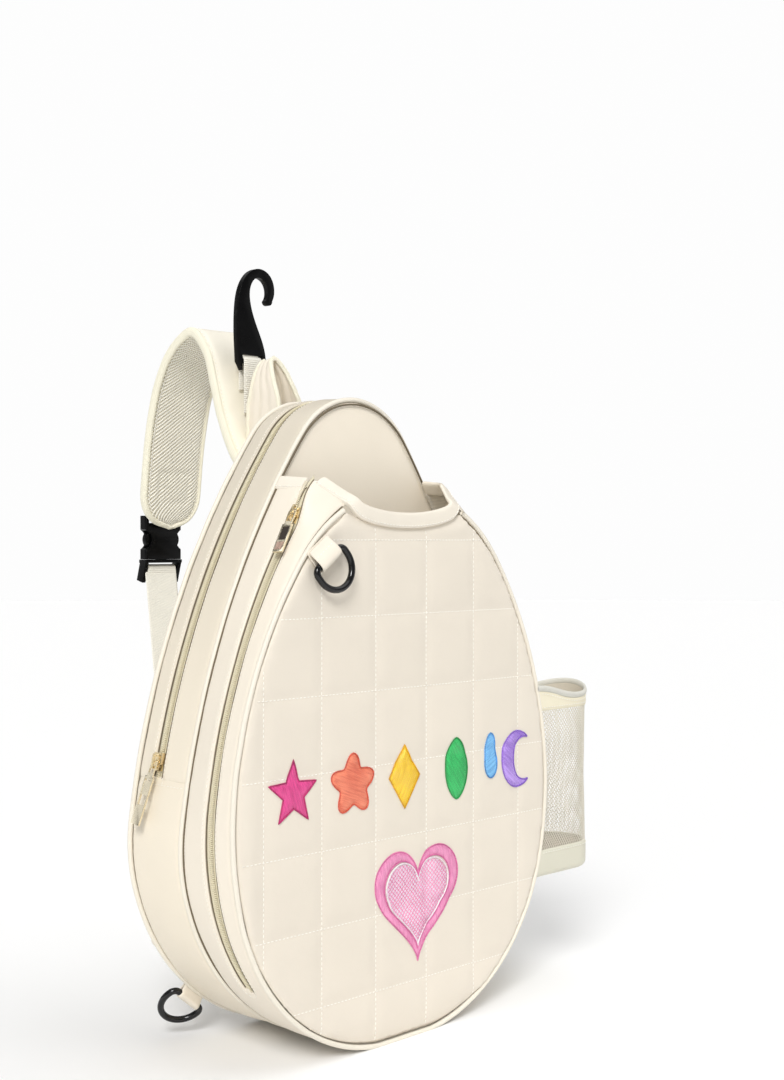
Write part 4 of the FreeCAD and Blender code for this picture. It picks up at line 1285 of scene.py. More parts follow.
def zip_seams():
    """Thread beside both zips, across the cross seams and round the pocket zip's lower end."""
    lines = []
    beside = SLOT + 2.1
    for side, relief in ((-1, front_relief), (1, rear_relief)):
        d = POCKET_ZIP + side * beside
        marks = [-v for v in fine(v_at(POCKET_ZIP_END - 1, d), v_at(side_rim(d) - 2, d))]
        lines.append([splay(on_relief(pocket_off, v, d, 0.12)) for v in marks])
        lines.append([on_relief(relief, v, MAIN_ZIP + side * beside, 0.12) for v in main_marks])
    arc = []
    for i in range(13):
        a = math.pi * i / 12
        d = POCKET_ZIP - beside * math.cos(a)
        v = -v_at(POCKET_ZIP_END - 1 - (SLOT + 1.5) * math.sin(a), d)
        arc.append(on_relief(pocket_off, v, d, 0.15))
    lines.append(arc)
    for side in (-1, 1):
        ds = [lerp(REAR_FRONT + 1.5, REAR_EDGE - 1.5, i / 40) for i in range(41)]
        lines.append([on_relief(low_relief, side * v_at(MAIN_ZIP_END - 3.0, d), d, 0.12) for d in ds])
    stitches("zip_stitching", lines, 3.2, 2.4, 0.18)


zip_seams()
# painted shadow lines along both edges of each zip
for side, off in ((-1, -0.05), (1, -0.6)):
    at = POCKET_ZIP + side * (SLOT - 0.1)
    dyed_edge(f"pocket_zip_dye_{side + 1}", at, (-v_at(side_rim(at), at), -v_zip_low - 0.01), 0.45, off)
    at = MAIN_ZIP + side * (SLOT - 0.1)
    dyed_edge(f"main_zip_dye_left_{side + 1}", at, (-4.98, -v_cross - 0.005), 0.45, off)
    dyed_edge(f"main_zip_dye_right_{side + 1}", at, (v_cross + 0.005, 4.98), 0.45, off)


# ---- shoulder strap -------------------------------------------------------------------------------
STRAP_HALF, STRAP_END = 32.0, 392.0
ROUND, ROUNDNESS = 29.4, 2.3      # length of the strap's rounded end, and its superellipse's exponent
STRAP_LINE = ((119.0, 429.0), (140.0, 434.5), (163.0, 445.0), (181.0, 478.0), (190.0, 505.0),
              (200.0, 534.0), (220.0, 553.5), (248.0, 538.5), (266.5, 509.0), (277.0, 472.0),
              (283.0, 432.0), (287.5, 386.0))
strap_points = curve_points([Vector((0, d, z)) for d, z in STRAP_LINE], 120)
strap_points = [p for p in strap_points if not (p.y > 270 and p.z < STRAP_END)]
strap_points.append(Vector((0, strap_points[-1].y + 0.3, STRAP_END)))
strap_along = lengths(strap_points)
strap_total = strap_along[-1]


def strap_at(s):
    k = max(i for i in range(len(strap_along) - 1) if strap_along[i] <= s)
    f = (s - strap_along[k]) / (strap_along[k + 1] - strap_along[k])
    return strap_points[k].lerp(strap_points[k + 1], f)


# the rounded end has points close together towards its tip
strap_tip = [strap_at(strap_total - ROUND * (1 - math.sin(math.radians(a)))) for a in range(0, 91, 6)]
strap_points = [p for p, s in zip(strap_points, strap_along) if s < strap_total - ROUND - 1] + strap_tip
strap_along = lengths(strap_points)
strap_total = strap_along[-1]


def strap_frame(i):
    """Which way the strap runs at one of its points, and which way its outer face looks."""
    a, b = strap_points[max(i - 1, 0)], strap_points[min(i + 1, len(strap_points) - 1)]
    t = (b - a).normalized()
    return t, Vector((1, 0, 0)).cross(t).normalized()


def strap_width(s):
    """Half the strap's width at a length along it."""
    e = strap_total - s
    if e >= ROUND:
        return STRAP_HALF
    return STRAP_HALF - ROUND + ROUND * max(1 - (1 - e / ROUND) ** ROUNDNESS, 0.0) ** (1 / ROUNDNESS)


BOX_LOW, BOX_HIGH, BOX_HALF = 19.0, 46.0, 16.5        # sewn square near the strap's end


def strap_faces():
    cols = 22
    made = {}
    for key, side, mat in (("strap_outer", 1, "strap_face"), ("strap_inner", -1, "air")):
        grid, pins, k = [], [], 0
        for i, p in enumerate(strap_points):
            up = strap_frame(i)[1]
            s = strap_along[i]
            w = max(strap_width(s) - 2.6, 0.4)
            e = strap_total - s
            row = []
            for j, share in enumerate(across(cols)):
                x = w * share
                edge = min(w - abs(x), e)
                rise = 2.0 + 2.1 * smooth(edge / 7.0)
                rise += 0.35 * wave((x, s, side * 9), 26, 21) + 0.15 * wave((x * 2, s, side * 5), 9, 22)
                boxed = abs(x) < BOX_HALF and BOX_LOW < e < BOX_HIGH
                line = min(abs(abs(x) - BOX_HALF) if BOX_LOW - 1 < e < BOX_HIGH + 1 else 9,
                           min(abs(e - BOX_LOW), abs(e - BOX_HIGH)) if abs(x) < BOX_HALF + 1 else 9)
                rise -= 1.1 * math.exp(-(line / 1.6) ** 2) + (0.35 if boxed else 0.0)
                # where the strap bends hard, the inner side gathers into cross folds
                bend = math.exp(-((s - 128.0) / 26.0) ** 2) if side < 0 else 0.0
                rise += 0.55 * bend * math.sin(s * 0.75 + 0.6 * math.sin(x * 0.13))
                if j in (0, cols) or i in (0, len(strap_points) - 1):
                    pins.append(k)
                row.append(vec(*(p + up * (side * rise) + Vector((x, 0, 0)))))
                k += 1
            grid.append(row)
        obj = sheet_mesh(key, grid, mat)
        up = strap_frame(60)[1] * side
        faces = obj.data.polygons
        if sum(f.normal.dot(up) for f in faces[len(faces) // 2:][:40]) < 0:
            edit(obj, turn_over)
        settle(obj, 10, 1.5, 0.9, pins, bend=0.6, stretch=18.0)
        thicken(obj, 1.2, -1.0, levels=1)
        made[key] = obj
    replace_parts(made["strap_outer"], "strap_pad")
    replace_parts(made["strap_inner"], "strap_mesh")


strap_faces()


def strap_side(sign, inset, lift=0.0):
    """Points down one side of the strap, in from its edge, where it is wide enough."""
    line = []
    for i, p in enumerate(strap_points):
        up, w = strap_frame(i)[1], strap_width(strap_along[i]) - inset
        if w > 1 or not lift:
            line.append((p + Vector((sign * max(w, 0.0), 0, 0)) + up * lift, up))
    return line


def strap_edge():
    """Binding round the strap's edge, its seams on both faces and the sewn square."""
    loop = strap_side(-1, 2.4) + strap_side(1, 2.4)[-2::-1]
    clean = [loop[0]]
    for q in loop[1:]:
        if (q[0] - clean[-1][0]).length > 1.6:
            clean.append(q)
    pts, ups = [vec(*q[0]) for q in clean], [q[1] for q in clean]
    for i, p in enumerate(pts):
        pts[i] = p + ups[i] * (0.25 * MM * wave(tuple(c / MM for c in p), 12, 31))
    obj = tube_along("strap_edging", pts, 2.35, "binding", 14, ups, flat=1.8)
    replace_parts(obj, "strap_binding")
    lines = []
    for lift in (-3.75, 3.75):
        seam = strap_side(-1, 5.4, lift) + strap_side(1, 5.4, lift)[::-1]
        lines.append([vec(*q) for q, _ in seam])
    square = []
    corners = ((-BOX_HALF, BOX_LOW), (BOX_HALF, BOX_LOW), (BOX_HALF, BOX_HIGH), (-BOX_HALF, BOX_HIGH))
    for x, e in corners + corners[:1]:
        s = strap_total - e
        i = max(k for k in range(len(strap_along)) if strap_along[k] <= s)
        square.append(vec(*(strap_at(s) + Vector((x, 0, 0)) - strap_frame(i)[1] * 3.3)))
    lines.append(square)
    stitches("strap_stitching", lines, 3.4, 2.5, 0.28)


strap_edge()


def band(name, centres, sideways, w, thick, waves=0.0):
    """Flat webbing with rounded edges through centres (mm). w is half its width, and sideways
    says which way that goes."""
    grid = []
    pts = [Vector(c) for c in centres]
    h, edge = thick / 2, w - 0.6
    half_ring = [(-w, 0.0), (-edge, h), (-w / 2, h), (0, h), (w / 2, h), (edge, h)]
    section = half_ring + [(-x, -y) for x, y in half_ring]
    for i, p in enumerate(pts):
        t = (pts[min(i + 1, len(pts) - 1)] - pts[max(i - 1, 0)]).normalized()
        a = Vector(sideways[i] if isinstance(sideways, list) else sideways)
        a = (a - t * a.dot(t)).normalized()
        n = a.cross(t).normalized()
        grid.append([vec(*(p + a * x + n * (y + waves * wave((x, p.z, p.y), 22, 41))))
                     for x, y in section])
    rows, cols = len(grid), len(section)
    uvs = [(u, x * MM) for u in lengths([vec(*p) for p in pts]) for x, _ in section]
    faces = quads(rows, cols, close_cols=True)
    faces.append(tuple(range(cols)))
    faces.append(tuple(reversed(range((rows - 1) * cols, rows * cols))))
    obj = make(name, [q for row in grid for q in row], faces, "webbing", uvs)
    edit(obj, face_out)
    obj.modifiers.new("crisp", "EDGE_SPLIT").split_angle = math.radians(50)
    return obj


end_web = band("strap_end_tape", curve_points([Vector((0, 289.6, 446)), Vector((0, 292.0, 428)),
               Vector((0, 294.3, 413)), Vector((0, 297.6, 403.5)), Vector((0, 298.6, 396.0))], 20),
               (1, 0, 0), 16.0, 1.5)
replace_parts(end_web, "strap_end_webbing")

WEB_TOP, WEB_FOOT = Vector((0.0, 299.5, 353.6)), Vector((-110.0, 123.5, 66.0))
web_pts, web_across = [], []
for i in range(49):
    t = i / 48
    p = WEB_TOP.lerp(WEB_FOOT, t)
    p = p + Vector((0, -1.5, -3.0)) * math.sin(math.pi * t)
    web_pts.append(p)
    web_across.append(Vector((1, 0, 0)).lerp(Vector((0.93, 0, -0.36)), t))
fold = [WEB_TOP + Vector((0, d, z)) for d, z in ((-6.0, -26.0), (-4.4, -14.0), (-3.0, -4.0),
                                                 (-2.0, 1.4), (0.4, 3.0), (1.6, 1.2))]
lower_web = band("lower_webbing", web_pts, web_across, 16.0, 1.8, waves=0.3)
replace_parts(lower_web, "strap_webbing")
band("webbing_tail", curve_points(fold, 22), (1, 0, 0), 15.7, 1.6, waves=0.2)


# ---- haul loop --------------------------------------------------------------------------------------
LOOP_LINE = ((-12.0, 436.0), (-11.5, 462.0), (-9.5, 492.0), (-6.0, 516.0), (0.0, 527.0))
LOOP_SIDE = ((22.0, 425.0), (22.0, 462.0), (19.5, 492.0), (12.0, 516.0), (4.0, 535.0))
LOOP_DEPTH, LOOP_LEAN = 141.5, math.radians(9)


def loop_half(z):
    """Half the loop's width, which narrows to its pinched top."""
    for (h0, z0), (h1, z1) in zip(LOOP_SIDE, LOOP_SIDE[1:]):
        if z <= z1:
            return lerp(h0, h1, max(z - z0, 0.0) / (z1 - z0))
    return LOOP_SIDE[-1][0]


def lean(x, d, z):
    """Leans a point of the upright loop towards the back."""
    dy, dz = d - LOOP_DEPTH, z - LOOP_LINE[0][1]
    return Vector((x, LOOP_DEPTH + dy * math.cos(LOOP_LEAN) + dz * math.sin(LOOP_LEAN),
                   LOOP_LINE[0][1] - dy * math.sin(LOOP_LEAN) + dz * math.cos(LOOP_LEAN)))


def haul_loop():
    half = [Vector((x, 0, z)) for x, z in LOOP_LINE]
    line = curve_points(half + [Vector((-p.x, 0, p.z)) for p in reversed(half[:-1])], 76)
    grid, edges, ups = [], ([], []), []
    for i, p in enumerate(line):
        a, b = line[max(i - 1, 0)], line[min(i + 1, len(line) - 1)]
        t = (b - a).normalized()
        out = Vector((0, 1, 0)).cross(t).normalized()
        if out.dot(p - Vector((0, 0, 470))) < 0:
            out = -out
        half_width = loop_half(p.z)
        row = []
        for f in across(18):
            pleat = 0.6 * math.cos(f * 11.0 + 1.8 * wave((i * 2.0, 0, 0), 18, 51)) * (1 - abs(f) ** 3)
            pleat += 0.5 * wave((f * 12, i * 1.5, 3), 8, 52)
            q = p + out * (1.9 + pleat)
            row.append(vec(*lean(q.x, LOOP_DEPTH + half_width * f, q.z)))
        q = p + out * 1.8
        for edge, sign in zip(edges, (-1, 1)):
            edge.append(vec(*lean(q.x, LOOP_DEPTH + sign * (half_width - 1.4), q.z)))
        ups.append(Vector((out.x, 0, out.z)))
        grid.append(row)
    obj = sheet_mesh("haul_loop_band", grid, "gusset",
                     outward=lambda p: Vector((p.x, 0, p.z - 0.47)))
    thicken(obj, 2.6, -0.2, levels=1)
    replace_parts(obj, "haul_loop")
    for k, edge in enumerate(edges):
        rough = [p + Vector((0.35 * wave((j * 3.0, k, 1), 5, 53),
                             0.4 * wave((j * 3.0, k, 2), 5, 54), 0)) * MM
                 for j, p in enumerate(edge)]
        tube_along(f"haul_loop_edge_{k}", rough, 1.8, "binding", 12, ups, flat=1.2)


haul_loop()


def flat_patch(name, node, corners, depth0, depth1, turn):
    """A sewn-on patch with rounded corners and a turned edge, facing the wearer."""
    pts = []
    for i, corner in enumerate(corners):
        p, a, b = Vector(corner), Vector(corners[i - 1]), Vector(corners[(i + 1) % len(corners)])
        da, db = (a - p).normalized() * turn, (b - p).normalized() * turn
        for t in (0, 0.25, 0.5, 0.75, 1):
            pts.append((p + da) * (1 - t) ** 2 + p * 2 * t * (1 - t) + (p + db) * t * t)
    centre = sum(pts, Vector((0, 0))) / len(pts)

    def loop(scale, depth):
        return [vec(q.x, depth, q.y) for q in (centre + (p - centre) * scale for p in pts)]

    rings = ((1.0, depth0), (1.0, depth1 - 0.6), (0.985, depth1), (0.93, depth1 + 0.15),
             (0.9, depth1 - 0.25), (0.86, depth1 + 0.1), (0.6, depth1 + 0.25), (0.3, depth1 + 0.2),
             (0.02, depth1 + 0.2))
    obj = sheet_mesh(name, [loop(*r) for r in rings], "gusset", close=True, outward=look_back)
    soften(obj)
    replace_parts(obj, node)
    seam = loop(0.9, depth1 + 0.3)
    stitches(name + "_stitching", [seam + seam[:1]], 3.4, 2.5, 0.28)


flat_patch("strap_root", "strap_root_patch", [(-38, 408), (38, 408), (30, 456), (-30, 456)],
           119.0, 121.2, 5.0)
flat_patch("webbing_wedge", "webbing_anchor", [(-150, 81), (-101, 28), (-85, 58), (-97, 85), (-127, 97)],
           119.0, 124.2, 6.0)


# ---- hard pieces: moulded and plated copies with their edges rounded ---------------------------------
def rounded(node, mat, radius, body, segments=2):
    """A copy of a hard node with bevelled edges, which stands for it."""
    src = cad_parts[node]
    mesh = src.data.copy()
    obj = bpy.data.objects.new(node + "_finished", mesh)
    bpy.context.scene.collection.objects.link(obj)
    obj.matrix_world = src.matrix_world
    mesh.materials.clear()
    mesh.materials.append(M[mat])
    bm = bmesh.new()
    bm.from_mesh(mesh)
    bmesh.ops.remove_doubles(bm, verts=bm.verts, dist=0.00002)
    bmesh.ops.dissolve_limit(bm, angle_limit=math.radians(1.0), verts=bm.verts, edges=bm.edges)
    for f in bm.faces:
        f.material_index, f.smooth = 0, True
    bm.to_mesh(mesh)
    bm.free()
    b = obj.modifiers.new("edges", "BEVEL")
    b.width, b.segments = radius * MM, segments
    b.limit_method, b.angle_limit = "ANGLE", math.radians(35)
    b.harden_normals = b.use_clamp_overlap = True
    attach(obj, body)
    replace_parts(obj, node)


rounded("buckle_socket", "black", 0.7, "bag")
rounded("buckle_plug", "black", 0.5, "bag")
rounded("buckle_arm_left", "black", 0.5, "arm_left")
rounded("buckle_arm_right", "black", 0.5, "arm_right")
rounded("fence_hook", "black", 1.1, "hook", 3)
rounded("pocket_zip_slider", "gold", 0.3, "pocket_slider")
rounded("main_zip_slider", "gold", 0.3, "main_slider")
rounded("pocket_zip_pull", "silver_gold", 0.3, "pocket_pull")
rounded("main_zip_pull", "silver_gold", 0.3, "main_pull")


def pull_plate(name, node, body, mat, start, end, half, thick, ridges=0):
    """Plate on a pull, from start to end down its length from the top; ridges roughen its face."""
    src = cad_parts[node]
    pts = numpy.array([list(src.matrix_world @ v.co) for v in src.data.vertices])
    middle = pts.mean(axis=0)
    _, axes = numpy.linalg.eigh(numpy.cov((pts - middle).T))
    down, thin = Vector(axes[:, 2]), Vector(axes[:, 0])
    if down.z > 0:
        down = -down
    if thin.x > 0:
        thin = -thin
    across = down.cross(thin)
    centre = Vector(middle)
    reach = [(Vector(p) - centre).dot(down) for p in pts]
    side = [(Vector(p) - centre).dot(across) for p in pts]
    flat = [(Vector(p) - centre).dot(thin) for p, r in zip(pts, reach) if r > min(reach) + 14 * MM]
    top = centre + down * min(reach) + across * ((max(side) + min(side)) / 2)
    top += thin * ((max(flat) + min(flat)) / 2)
    rows, cols = max(ridges * 4, 2), 6
    verts, faces = [], []
    for level in (-1, 1):
        for i in range(rows + 1):
            for j in range(cols + 1):
                face = level * thick / 2
                if ridges and level > 0 and 0 < i < rows:
                    face += 0.16 * math.sin(i * math.pi / 2 + j * 1.1)
                u, w = lerp(start, end, i / rows), lerp(-half, half, j / cols)
                verts.append(top + (down * u + across * w + thin * face) * MM)
    layer = (rows + 1) * (cols + 1)
    for i in range(rows):
        for j in range(cols):
            a = i * (cols + 1) + j
            faces.append((a, a + cols + 1, a + cols + 2, a + 1))
            faces.append((layer + a, layer + a + 1, layer + a + cols + 2, layer + a + cols + 1))
    rim = list(range(cols + 1)) + [i * (cols + 1) + cols for i in range(1, rows + 1)]
    rim += [rows * (cols + 1) + j for j in range(cols - 1, -1, -1)]
    rim += [i * (cols + 1) for i in range(rows - 1, 0, -1)]
    for a, b in zip(rim, rim[1:] + rim[:1]):
        faces.append((a, b, layer + b, layer + a))
    edit(make(name, verts, faces, mat, body=body, flat=True), face_out)


# painted shade: dark sheet in the pocket pull's slot, for the shade seen through it
pull_plate("pocket_pull_slot_shade", "pocket_zip_pull", "pocket_pull", "inlay", 13.4, 26.2, 3.3, 0.5)
pull_plate("pocket_pull_label", "pocket_zip_pull", "pocket_pull", "rose_gold", 28.2, 35.0, 3.0, 1.9,
           ridges=7)
pull_plate("main_pull_plate", "main_zip_pull", "main_pull", "silver_gold", 15.5, 26.0, 4.0, 1.2)


for node, mat in (("front_d_ring", "ring"), ("low_d_ring_left", "ring"), ("low_d_ring_right", "ring"),
                  ("back_board", "foam")):
    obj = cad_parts[node]
    if not obj.material_slots:
        obj.data.materials.append(M[mat])
    for slot in obj.material_slots:
        slot.material = M[mat]


# ---- webbing tab of the hook, and the tabs of the rings ------------------------------------------------
HOOK_D, HOOK_BAR = 179.0, 528.0


def hook_tab():
    """Webbing that comes up from the strap, turns over the hook's bar and goes back down."""
    r = 3.3
    front = [Vector((0, HOOK_D - r, z)) for z in (484, 496, 508, 518, 524)]
    over = [Vector((0, HOOK_D - r * math.cos(a), HOOK_BAR + r * math.sin(a)))
            for a in (math.pi * k / 8 for k in range(9))]
    back = [Vector((0, HOOK_D + r, z)) for z in (524, 516, 504)]
    obj = band("hook_webbing", front + over + back, (1, 0, 0), 10.0, 1.3, waves=0.15)
    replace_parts(obj, "hook_tab")
    face = HOOK_D - r - 0.85
    lines = [[vec(x, face, z) for z in range(486, 516, 3)] for x in (-8.0, 8.0)]
    lines.append([vec(x, face, 515) for x in range(-8, 9, 2)])
    stitches("hook_tab_stitching", lines, 3.2, 2.4, 0.25)


hook_tab()


def ring_tab(name, node, ring, length, side, base):
    """Fabric folded round a ring's bar; it runs away from the ring and is sewn down."""
    x0, d0, z0, angle = ring
    a = math.radians(angle)
    along = Vector((math.cos(a), 0, math.sin(a)))
    away = Vector((-math.sin(a), 0, math.cos(a)))
    out = Vector((0, -1 if d0 < 50 else 1, 0))
    r, half = 3.55, 11.3

    def place(f, u, rise):
        p = Vector((x0, d0, z0)) + along * f + away * u + out * rise
        return vec(side * p.x, p.y, p.z)

    turns = [math.pi * (0.5 - k / 10) for k in range(11)]
    profile = [(-r * math.cos(t), r * math.sin(t)) for t in turns]
    drop = base + 0.6
    top = -drop + 2.3
    tail = [(length * 0.3, -min(r, drop)), (length * 0.6, -drop), (length, -drop)]
    head = [(length, -drop + 1.7), (length * 0.8, top), (length * 0.5, lerp(top, r, 0.42)),
            (length * 0.25, lerp(top, r, 0.82))]
    grid = []
    for k, (u, h) in enumerate(head + profile + tail):
        row = []
        for f in across(12):
            edge = 0.5 * math.exp(-((1 - abs(f)) * half / 0.9) ** 2)
            row.append(place(f * half, u, h * (1 - edge * 0.5) + 0.15 * wave((f * 9, u, k), 9, 61)))
        grid.append(row)
    obj = sheet_mesh(name, grid, "gusset")
    thicken(obj, 1.2, -1.0 * side, levels=1)
    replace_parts(obj, node)
    u = 7.0
    rise = lerp(r, top, (u - 2) / (length * 0.8)) + 0.3
    stitches(name + "_stitching", [[place(f * (half - 1.6), u, rise) for f in across(12)]], 3.2, 2.3, 0.24)


ring_tab("front_tab", "front_ring_tab", (-89.0, -5.4, 365.5, 36.0), 12.6, 1, 4.6)
for label, side in (("left", -1), ("right", 1)):
    ring_tab("low_tab_" + label, "low_ring_tab_" + label, (115.5, 119.0, 30.5, 39.0), 12.0, side, 1.2)


# ---- bottle pocket -------------------------------------------------------------------------------------
BOTTLE_D, BOTTLE_R, BOTTLE_X = 33.0, 31.0, 218.0      # the U's middle depth, radius and centre
FOOT_LOW, FOOT_TOP, NET_TOP, BAND_TOP, EDGE_TOP = 96.0, 119.0, 236.0, 252.0, 258.0
AROUND = 110                                          # steps round the U


def pocket_point(q, z, off=0.0, tuck=0.0):
    """q from 0 at the gusset in front, round the U, to 1 at the gusset behind."""
    r = BOTTLE_R + off
    sag = 1.4 * math.sin(math.pi * min(max((z - 119) / 117, 0), 1)) if 119 < z < 236 else 0.0
    r -= sag * 0.7
    da, db = BOTTLE_D - r, BOTTLE_D + r
    xa = outline(v_at(z, max(da, 0.5)), max(da, 0.5))[0] - 1.0
    xb = outline(v_at(z, min(db, 100.0)), min(db, 100.0))[0] - 1.0
    la, lb, arc = BOTTLE_X - xa, BOTTLE_X - xb, math.pi * r
    s = q * (la + arc + lb)
    if s < la:
        x, d = xa + s, da
    elif s < la + arc:
        a = (s - la) / r
        x, d = BOTTLE_X + r * math.sin(a), BOTTLE_D - r * math.cos(a)
    else:
        x, d = BOTTLE_X - (s - la - arc), db
    if tuck:
        cx = min(x, BOTTLE_X)
        x, d = lerp(x, cx - 6.0 * (x > BOTTLE_X), tuck), lerp(d, BOTTLE_D, tuck)
    return Vector((x, d, z))


def mouth_dip(q):
    """The pocket's mouth sags on either side of its middle."""
    return -9.0 * math.sin(2 * math.pi * min(max(q, 0.0), 1.0)) ** 2


def pocket_row(z, off, tuck=0.0, dip=0.0, first=0, last=AROUND):
    """Points round the pocket at a height; off is a distance, or gives one for each step."""
    row = []
    for i in range(first, last + 1):
        p = pocket_point(i / AROUND, z, off(i) if callable(off) else off, tuck)
        p.z += mouth_dip(i / AROUND) * dip
        row.append(vec(*p))
    return row


def face_right(bm):
    face_out(bm)
    if max(bm.faces, key=lambda f: f.calc_center_median().x).normal.x < 0:
        turn_over(bm)


def pocket_cloth(name, node, grid, mat):
    obj = sheet_mesh(name, grid, mat)
    edit(obj, face_right)
    thicken(obj, 1.4, -1.0, "lining", levels=1)
    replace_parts(obj, node)


def pocket_foot():
    """Bottom band with rounded corners, closed underneath."""
    grid = [pocket_row(FOOT_LOW + 0.3, -5.0, tuck) for tuck in (0.98, 0.75, 0.5, 0.25)]
    for a in (math.pi / 2 * k / 8 for k in reversed(range(9))):
        grid.append(pocket_row(FOOT_LOW + 5.0 * (1 - math.sin(a)), 0.5 - 5.0 * (1 - math.cos(a))))
    for z in (FOOT_LOW + 8, FOOT_LOW + 12, FOOT_LOW + 17, FOOT_TOP - 2.5, FOOT_TOP - 0.9, FOOT_TOP):
        tuck_in = 0.9 * math.exp(-((z - FOOT_TOP) / 1.2) ** 2)
        grid.append(pocket_row(z, lambda i: 0.6 - tuck_in + 0.3 * wave((i * 2, z, 0), 20, 72)))
    pocket_cloth("bottle_pocket_foot", "bottle_pocket_base", grid, "foot")


def pocket_net():
    """Diamonds of yarn between the bands."""
    cols, rows = 132, 60
    verts, index, faces = [], {}, []
    for i in range(rows + 1):
        z = lerp(FOOT_TOP - 1.0, NET_TOP + 1.0, i / rows)
        for j in range(i % 2, cols + 1, 2):
            index[(i, j)] = len(verts)
            verts.append(vec(*pocket_point(j / cols, z, -0.4 + 0.5 * wave((j * 1.7, z, 0), 30, 73))))
    for i in range(rows + 1):
        for j in range((i + 1) % 2, cols + 1, 2):
            around = [index.get(k) for k in ((i - 1, j), (i, j + 1), (i + 1, j), (i, j - 1))]
            around = tuple(k for k in around if k is not None)
            if len(around) >= 3:
                faces.append(around)
    net = make("bottle_pocket_net", verts, faces, "net")
    wire = net.modifiers.new("yarn", "WIREFRAME")
    wire.thickness = 0.7 * MM
    wire.use_even_offset = False
    wire.offset = 0.0
    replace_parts(net, "bottle_pocket_mesh")


def pocket_mouth():
    """Top band, its elastic edge and the pocket's seams."""
    grid = []
    for z in (NET_TOP - 1.0, NET_TOP + 0.2, NET_TOP + 2, NET_TOP + 6, NET_TOP + 11,
              BAND_TOP - 1.5, BAND_TOP + 0.5):
        tuck_in = 0.9 * math.exp(-((z - NET_TOP + 1) / 1.3) ** 2)
        grid.append(pocket_row(z, lambda i: 0.7 - tuck_in + 0.45 * wave((i * 2, z * 0.5, 0), 14, 74),
                               dip=smooth((z - NET_TOP) / (BAND_TOP - NET_TOP))))
    pocket_cloth("bottle_pocket_top", "bottle_pocket_band", grid, "knit")
    edge = []
    for i in range(AROUND + 1):
        p = pocket_point(i / AROUND, (BAND_TOP + EDGE_TOP) / 2 + 0.8 * math.sin(i * 0.09), 0.2)
        p.z += mouth_dip(i / AROUND) - 0.6
        edge.append(vec(*p))
    ups = [Vector((0, 0, 1))] * len(edge)
    rim = tube_along("bottle_pocket_elastic", edge, 1.5, "elastic", 14, ups, flat=1.7)
    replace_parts(rim, "bottle_pocket_binding")
    seams = ((FOOT_TOP - 2.6, 0.85, 0), (NET_TOP + 2.2, 0.95, 0), (BAND_TOP - 2.0, 0.95, 1))
    lines = [pocket_row(z, off, dip=dip, first=2, last=AROUND - 2) for z, off, dip in seams]
    stitches("bottle_pocket_stitching", lines, 3.4, 2.5, 0.25)


pocket_foot()
pocket_net()
pocket_mouth()


# ---- embroidery --------------------------------------------------------------------------------------------
ROW_Z, ROW_H = 199.5, 48.0
THREADS = {
    "pink": (rgb(232, 78, 150), rgb(196, 42, 112), rgb(150, 30, 86), 0.3),
    "coral": (rgb(244, 142, 110), rgb(226, 92, 66), rgb(176, 66, 44), 1.2),
    "yellow": (rgb(252, 214, 44), rgb(238, 180, 14), rgb(196, 140, 12), -0.5),
    "green": (rgb(52, 196, 104), rgb(22, 152, 70), rgb(14, 110, 52), 0.6),
    "blue": (rgb(132, 200, 246), rgb(84, 160, 226), rgb(58, 116, 178), -1.1),
    "lilac": (rgb(196, 162, 240), rgb(148, 104, 214), rgb(104, 70, 164), 0.9),
    "rose": (rgb(243, 160, 200), rgb(228, 120, 174), rgb(196, 84, 142), 0.2),
}
for key, (light, dark, rim, angle) in THREADS.items():
    M[key] = satin("satin_" + key, light, dark, angle)
    M[key + "_edge"] = satin("satin_edge_" + key, dark, rim, angle + 1.2)
    SLOTS[key] = SLOTS[key + "_edge"] = "thread_" + key
M["white_thread"] = satin("satin_white", rgb(252, 246, 248), rgb(236, 216, 228), 0.5)
M["blush"] = satin("satin_blush", rgb(255, 238, 248), rgb(250, 222, 240), 0.9)
SLOTS["white_thread"] = SLOTS["blush"] = "thread_rose"


def polar(count, radius_of, stretch=1.0):
    """A closed shape whose radius is given by the angle."""
    turns = [2 * math.pi * i / count for i in range(count)]
    return [(radius_of(a) * math.sin(a) * stretch, radius_of(a) * math.cos(a)) for a in turns]


def star():
    return [(r * math.sin(math.pi * i / 5), r * math.cos(math.pi * i / 5))
            for i, r in enumerate((ROW_H / 2, ROW_H / 4.6) * 5)]


def leaf():
    rise = [math.pi * i / 16 for i in range(17)]
    side = [(13 * math.sin(a) ** 1.3, ROW_H / 2 * math.cos(a)) for a in rise]
    return side + [(-x, z) for x, z in reversed(side[1:-1])]


def crescent():
    outer = [(20 * math.cos(a), 23 * math.sin(a)) for a in (math.radians(50 + 13 * i) for i in range(21))]
    inner = [(9 + 14 * math.cos(a), 17.6 * math.sin(a))
             for a in (math.radians(285 - 14 * i) for i in range(16))]
    return outer + inner


def heart(width, height):
    turns = [2 * math.pi * i / 96 for i in range(96)]
    shape = [(16 * math.sin(a) ** 3,
              13 * math.cos(a) - 5 * math.cos(2 * a) - 2 * math.cos(3 * a) - math.cos(4 * a))
             for a in turns]
    return [(x * width / 32, (z + 2.6) * height / 29) for x, z in shape]


def along_outline(points, step):
    pts = [Vector((x, 0, z)) for x, z in points] + [Vector((points[0][0], 0, points[0][1]))]
    out = []
    for a, b in zip(pts, pts[1:]):
        n = max(int((b - a).length / step), 1)
        out += [(lerp(a.x, b.x, i / n), lerp(a.z, b.z, i / n)) for i in range(n)]
    return out


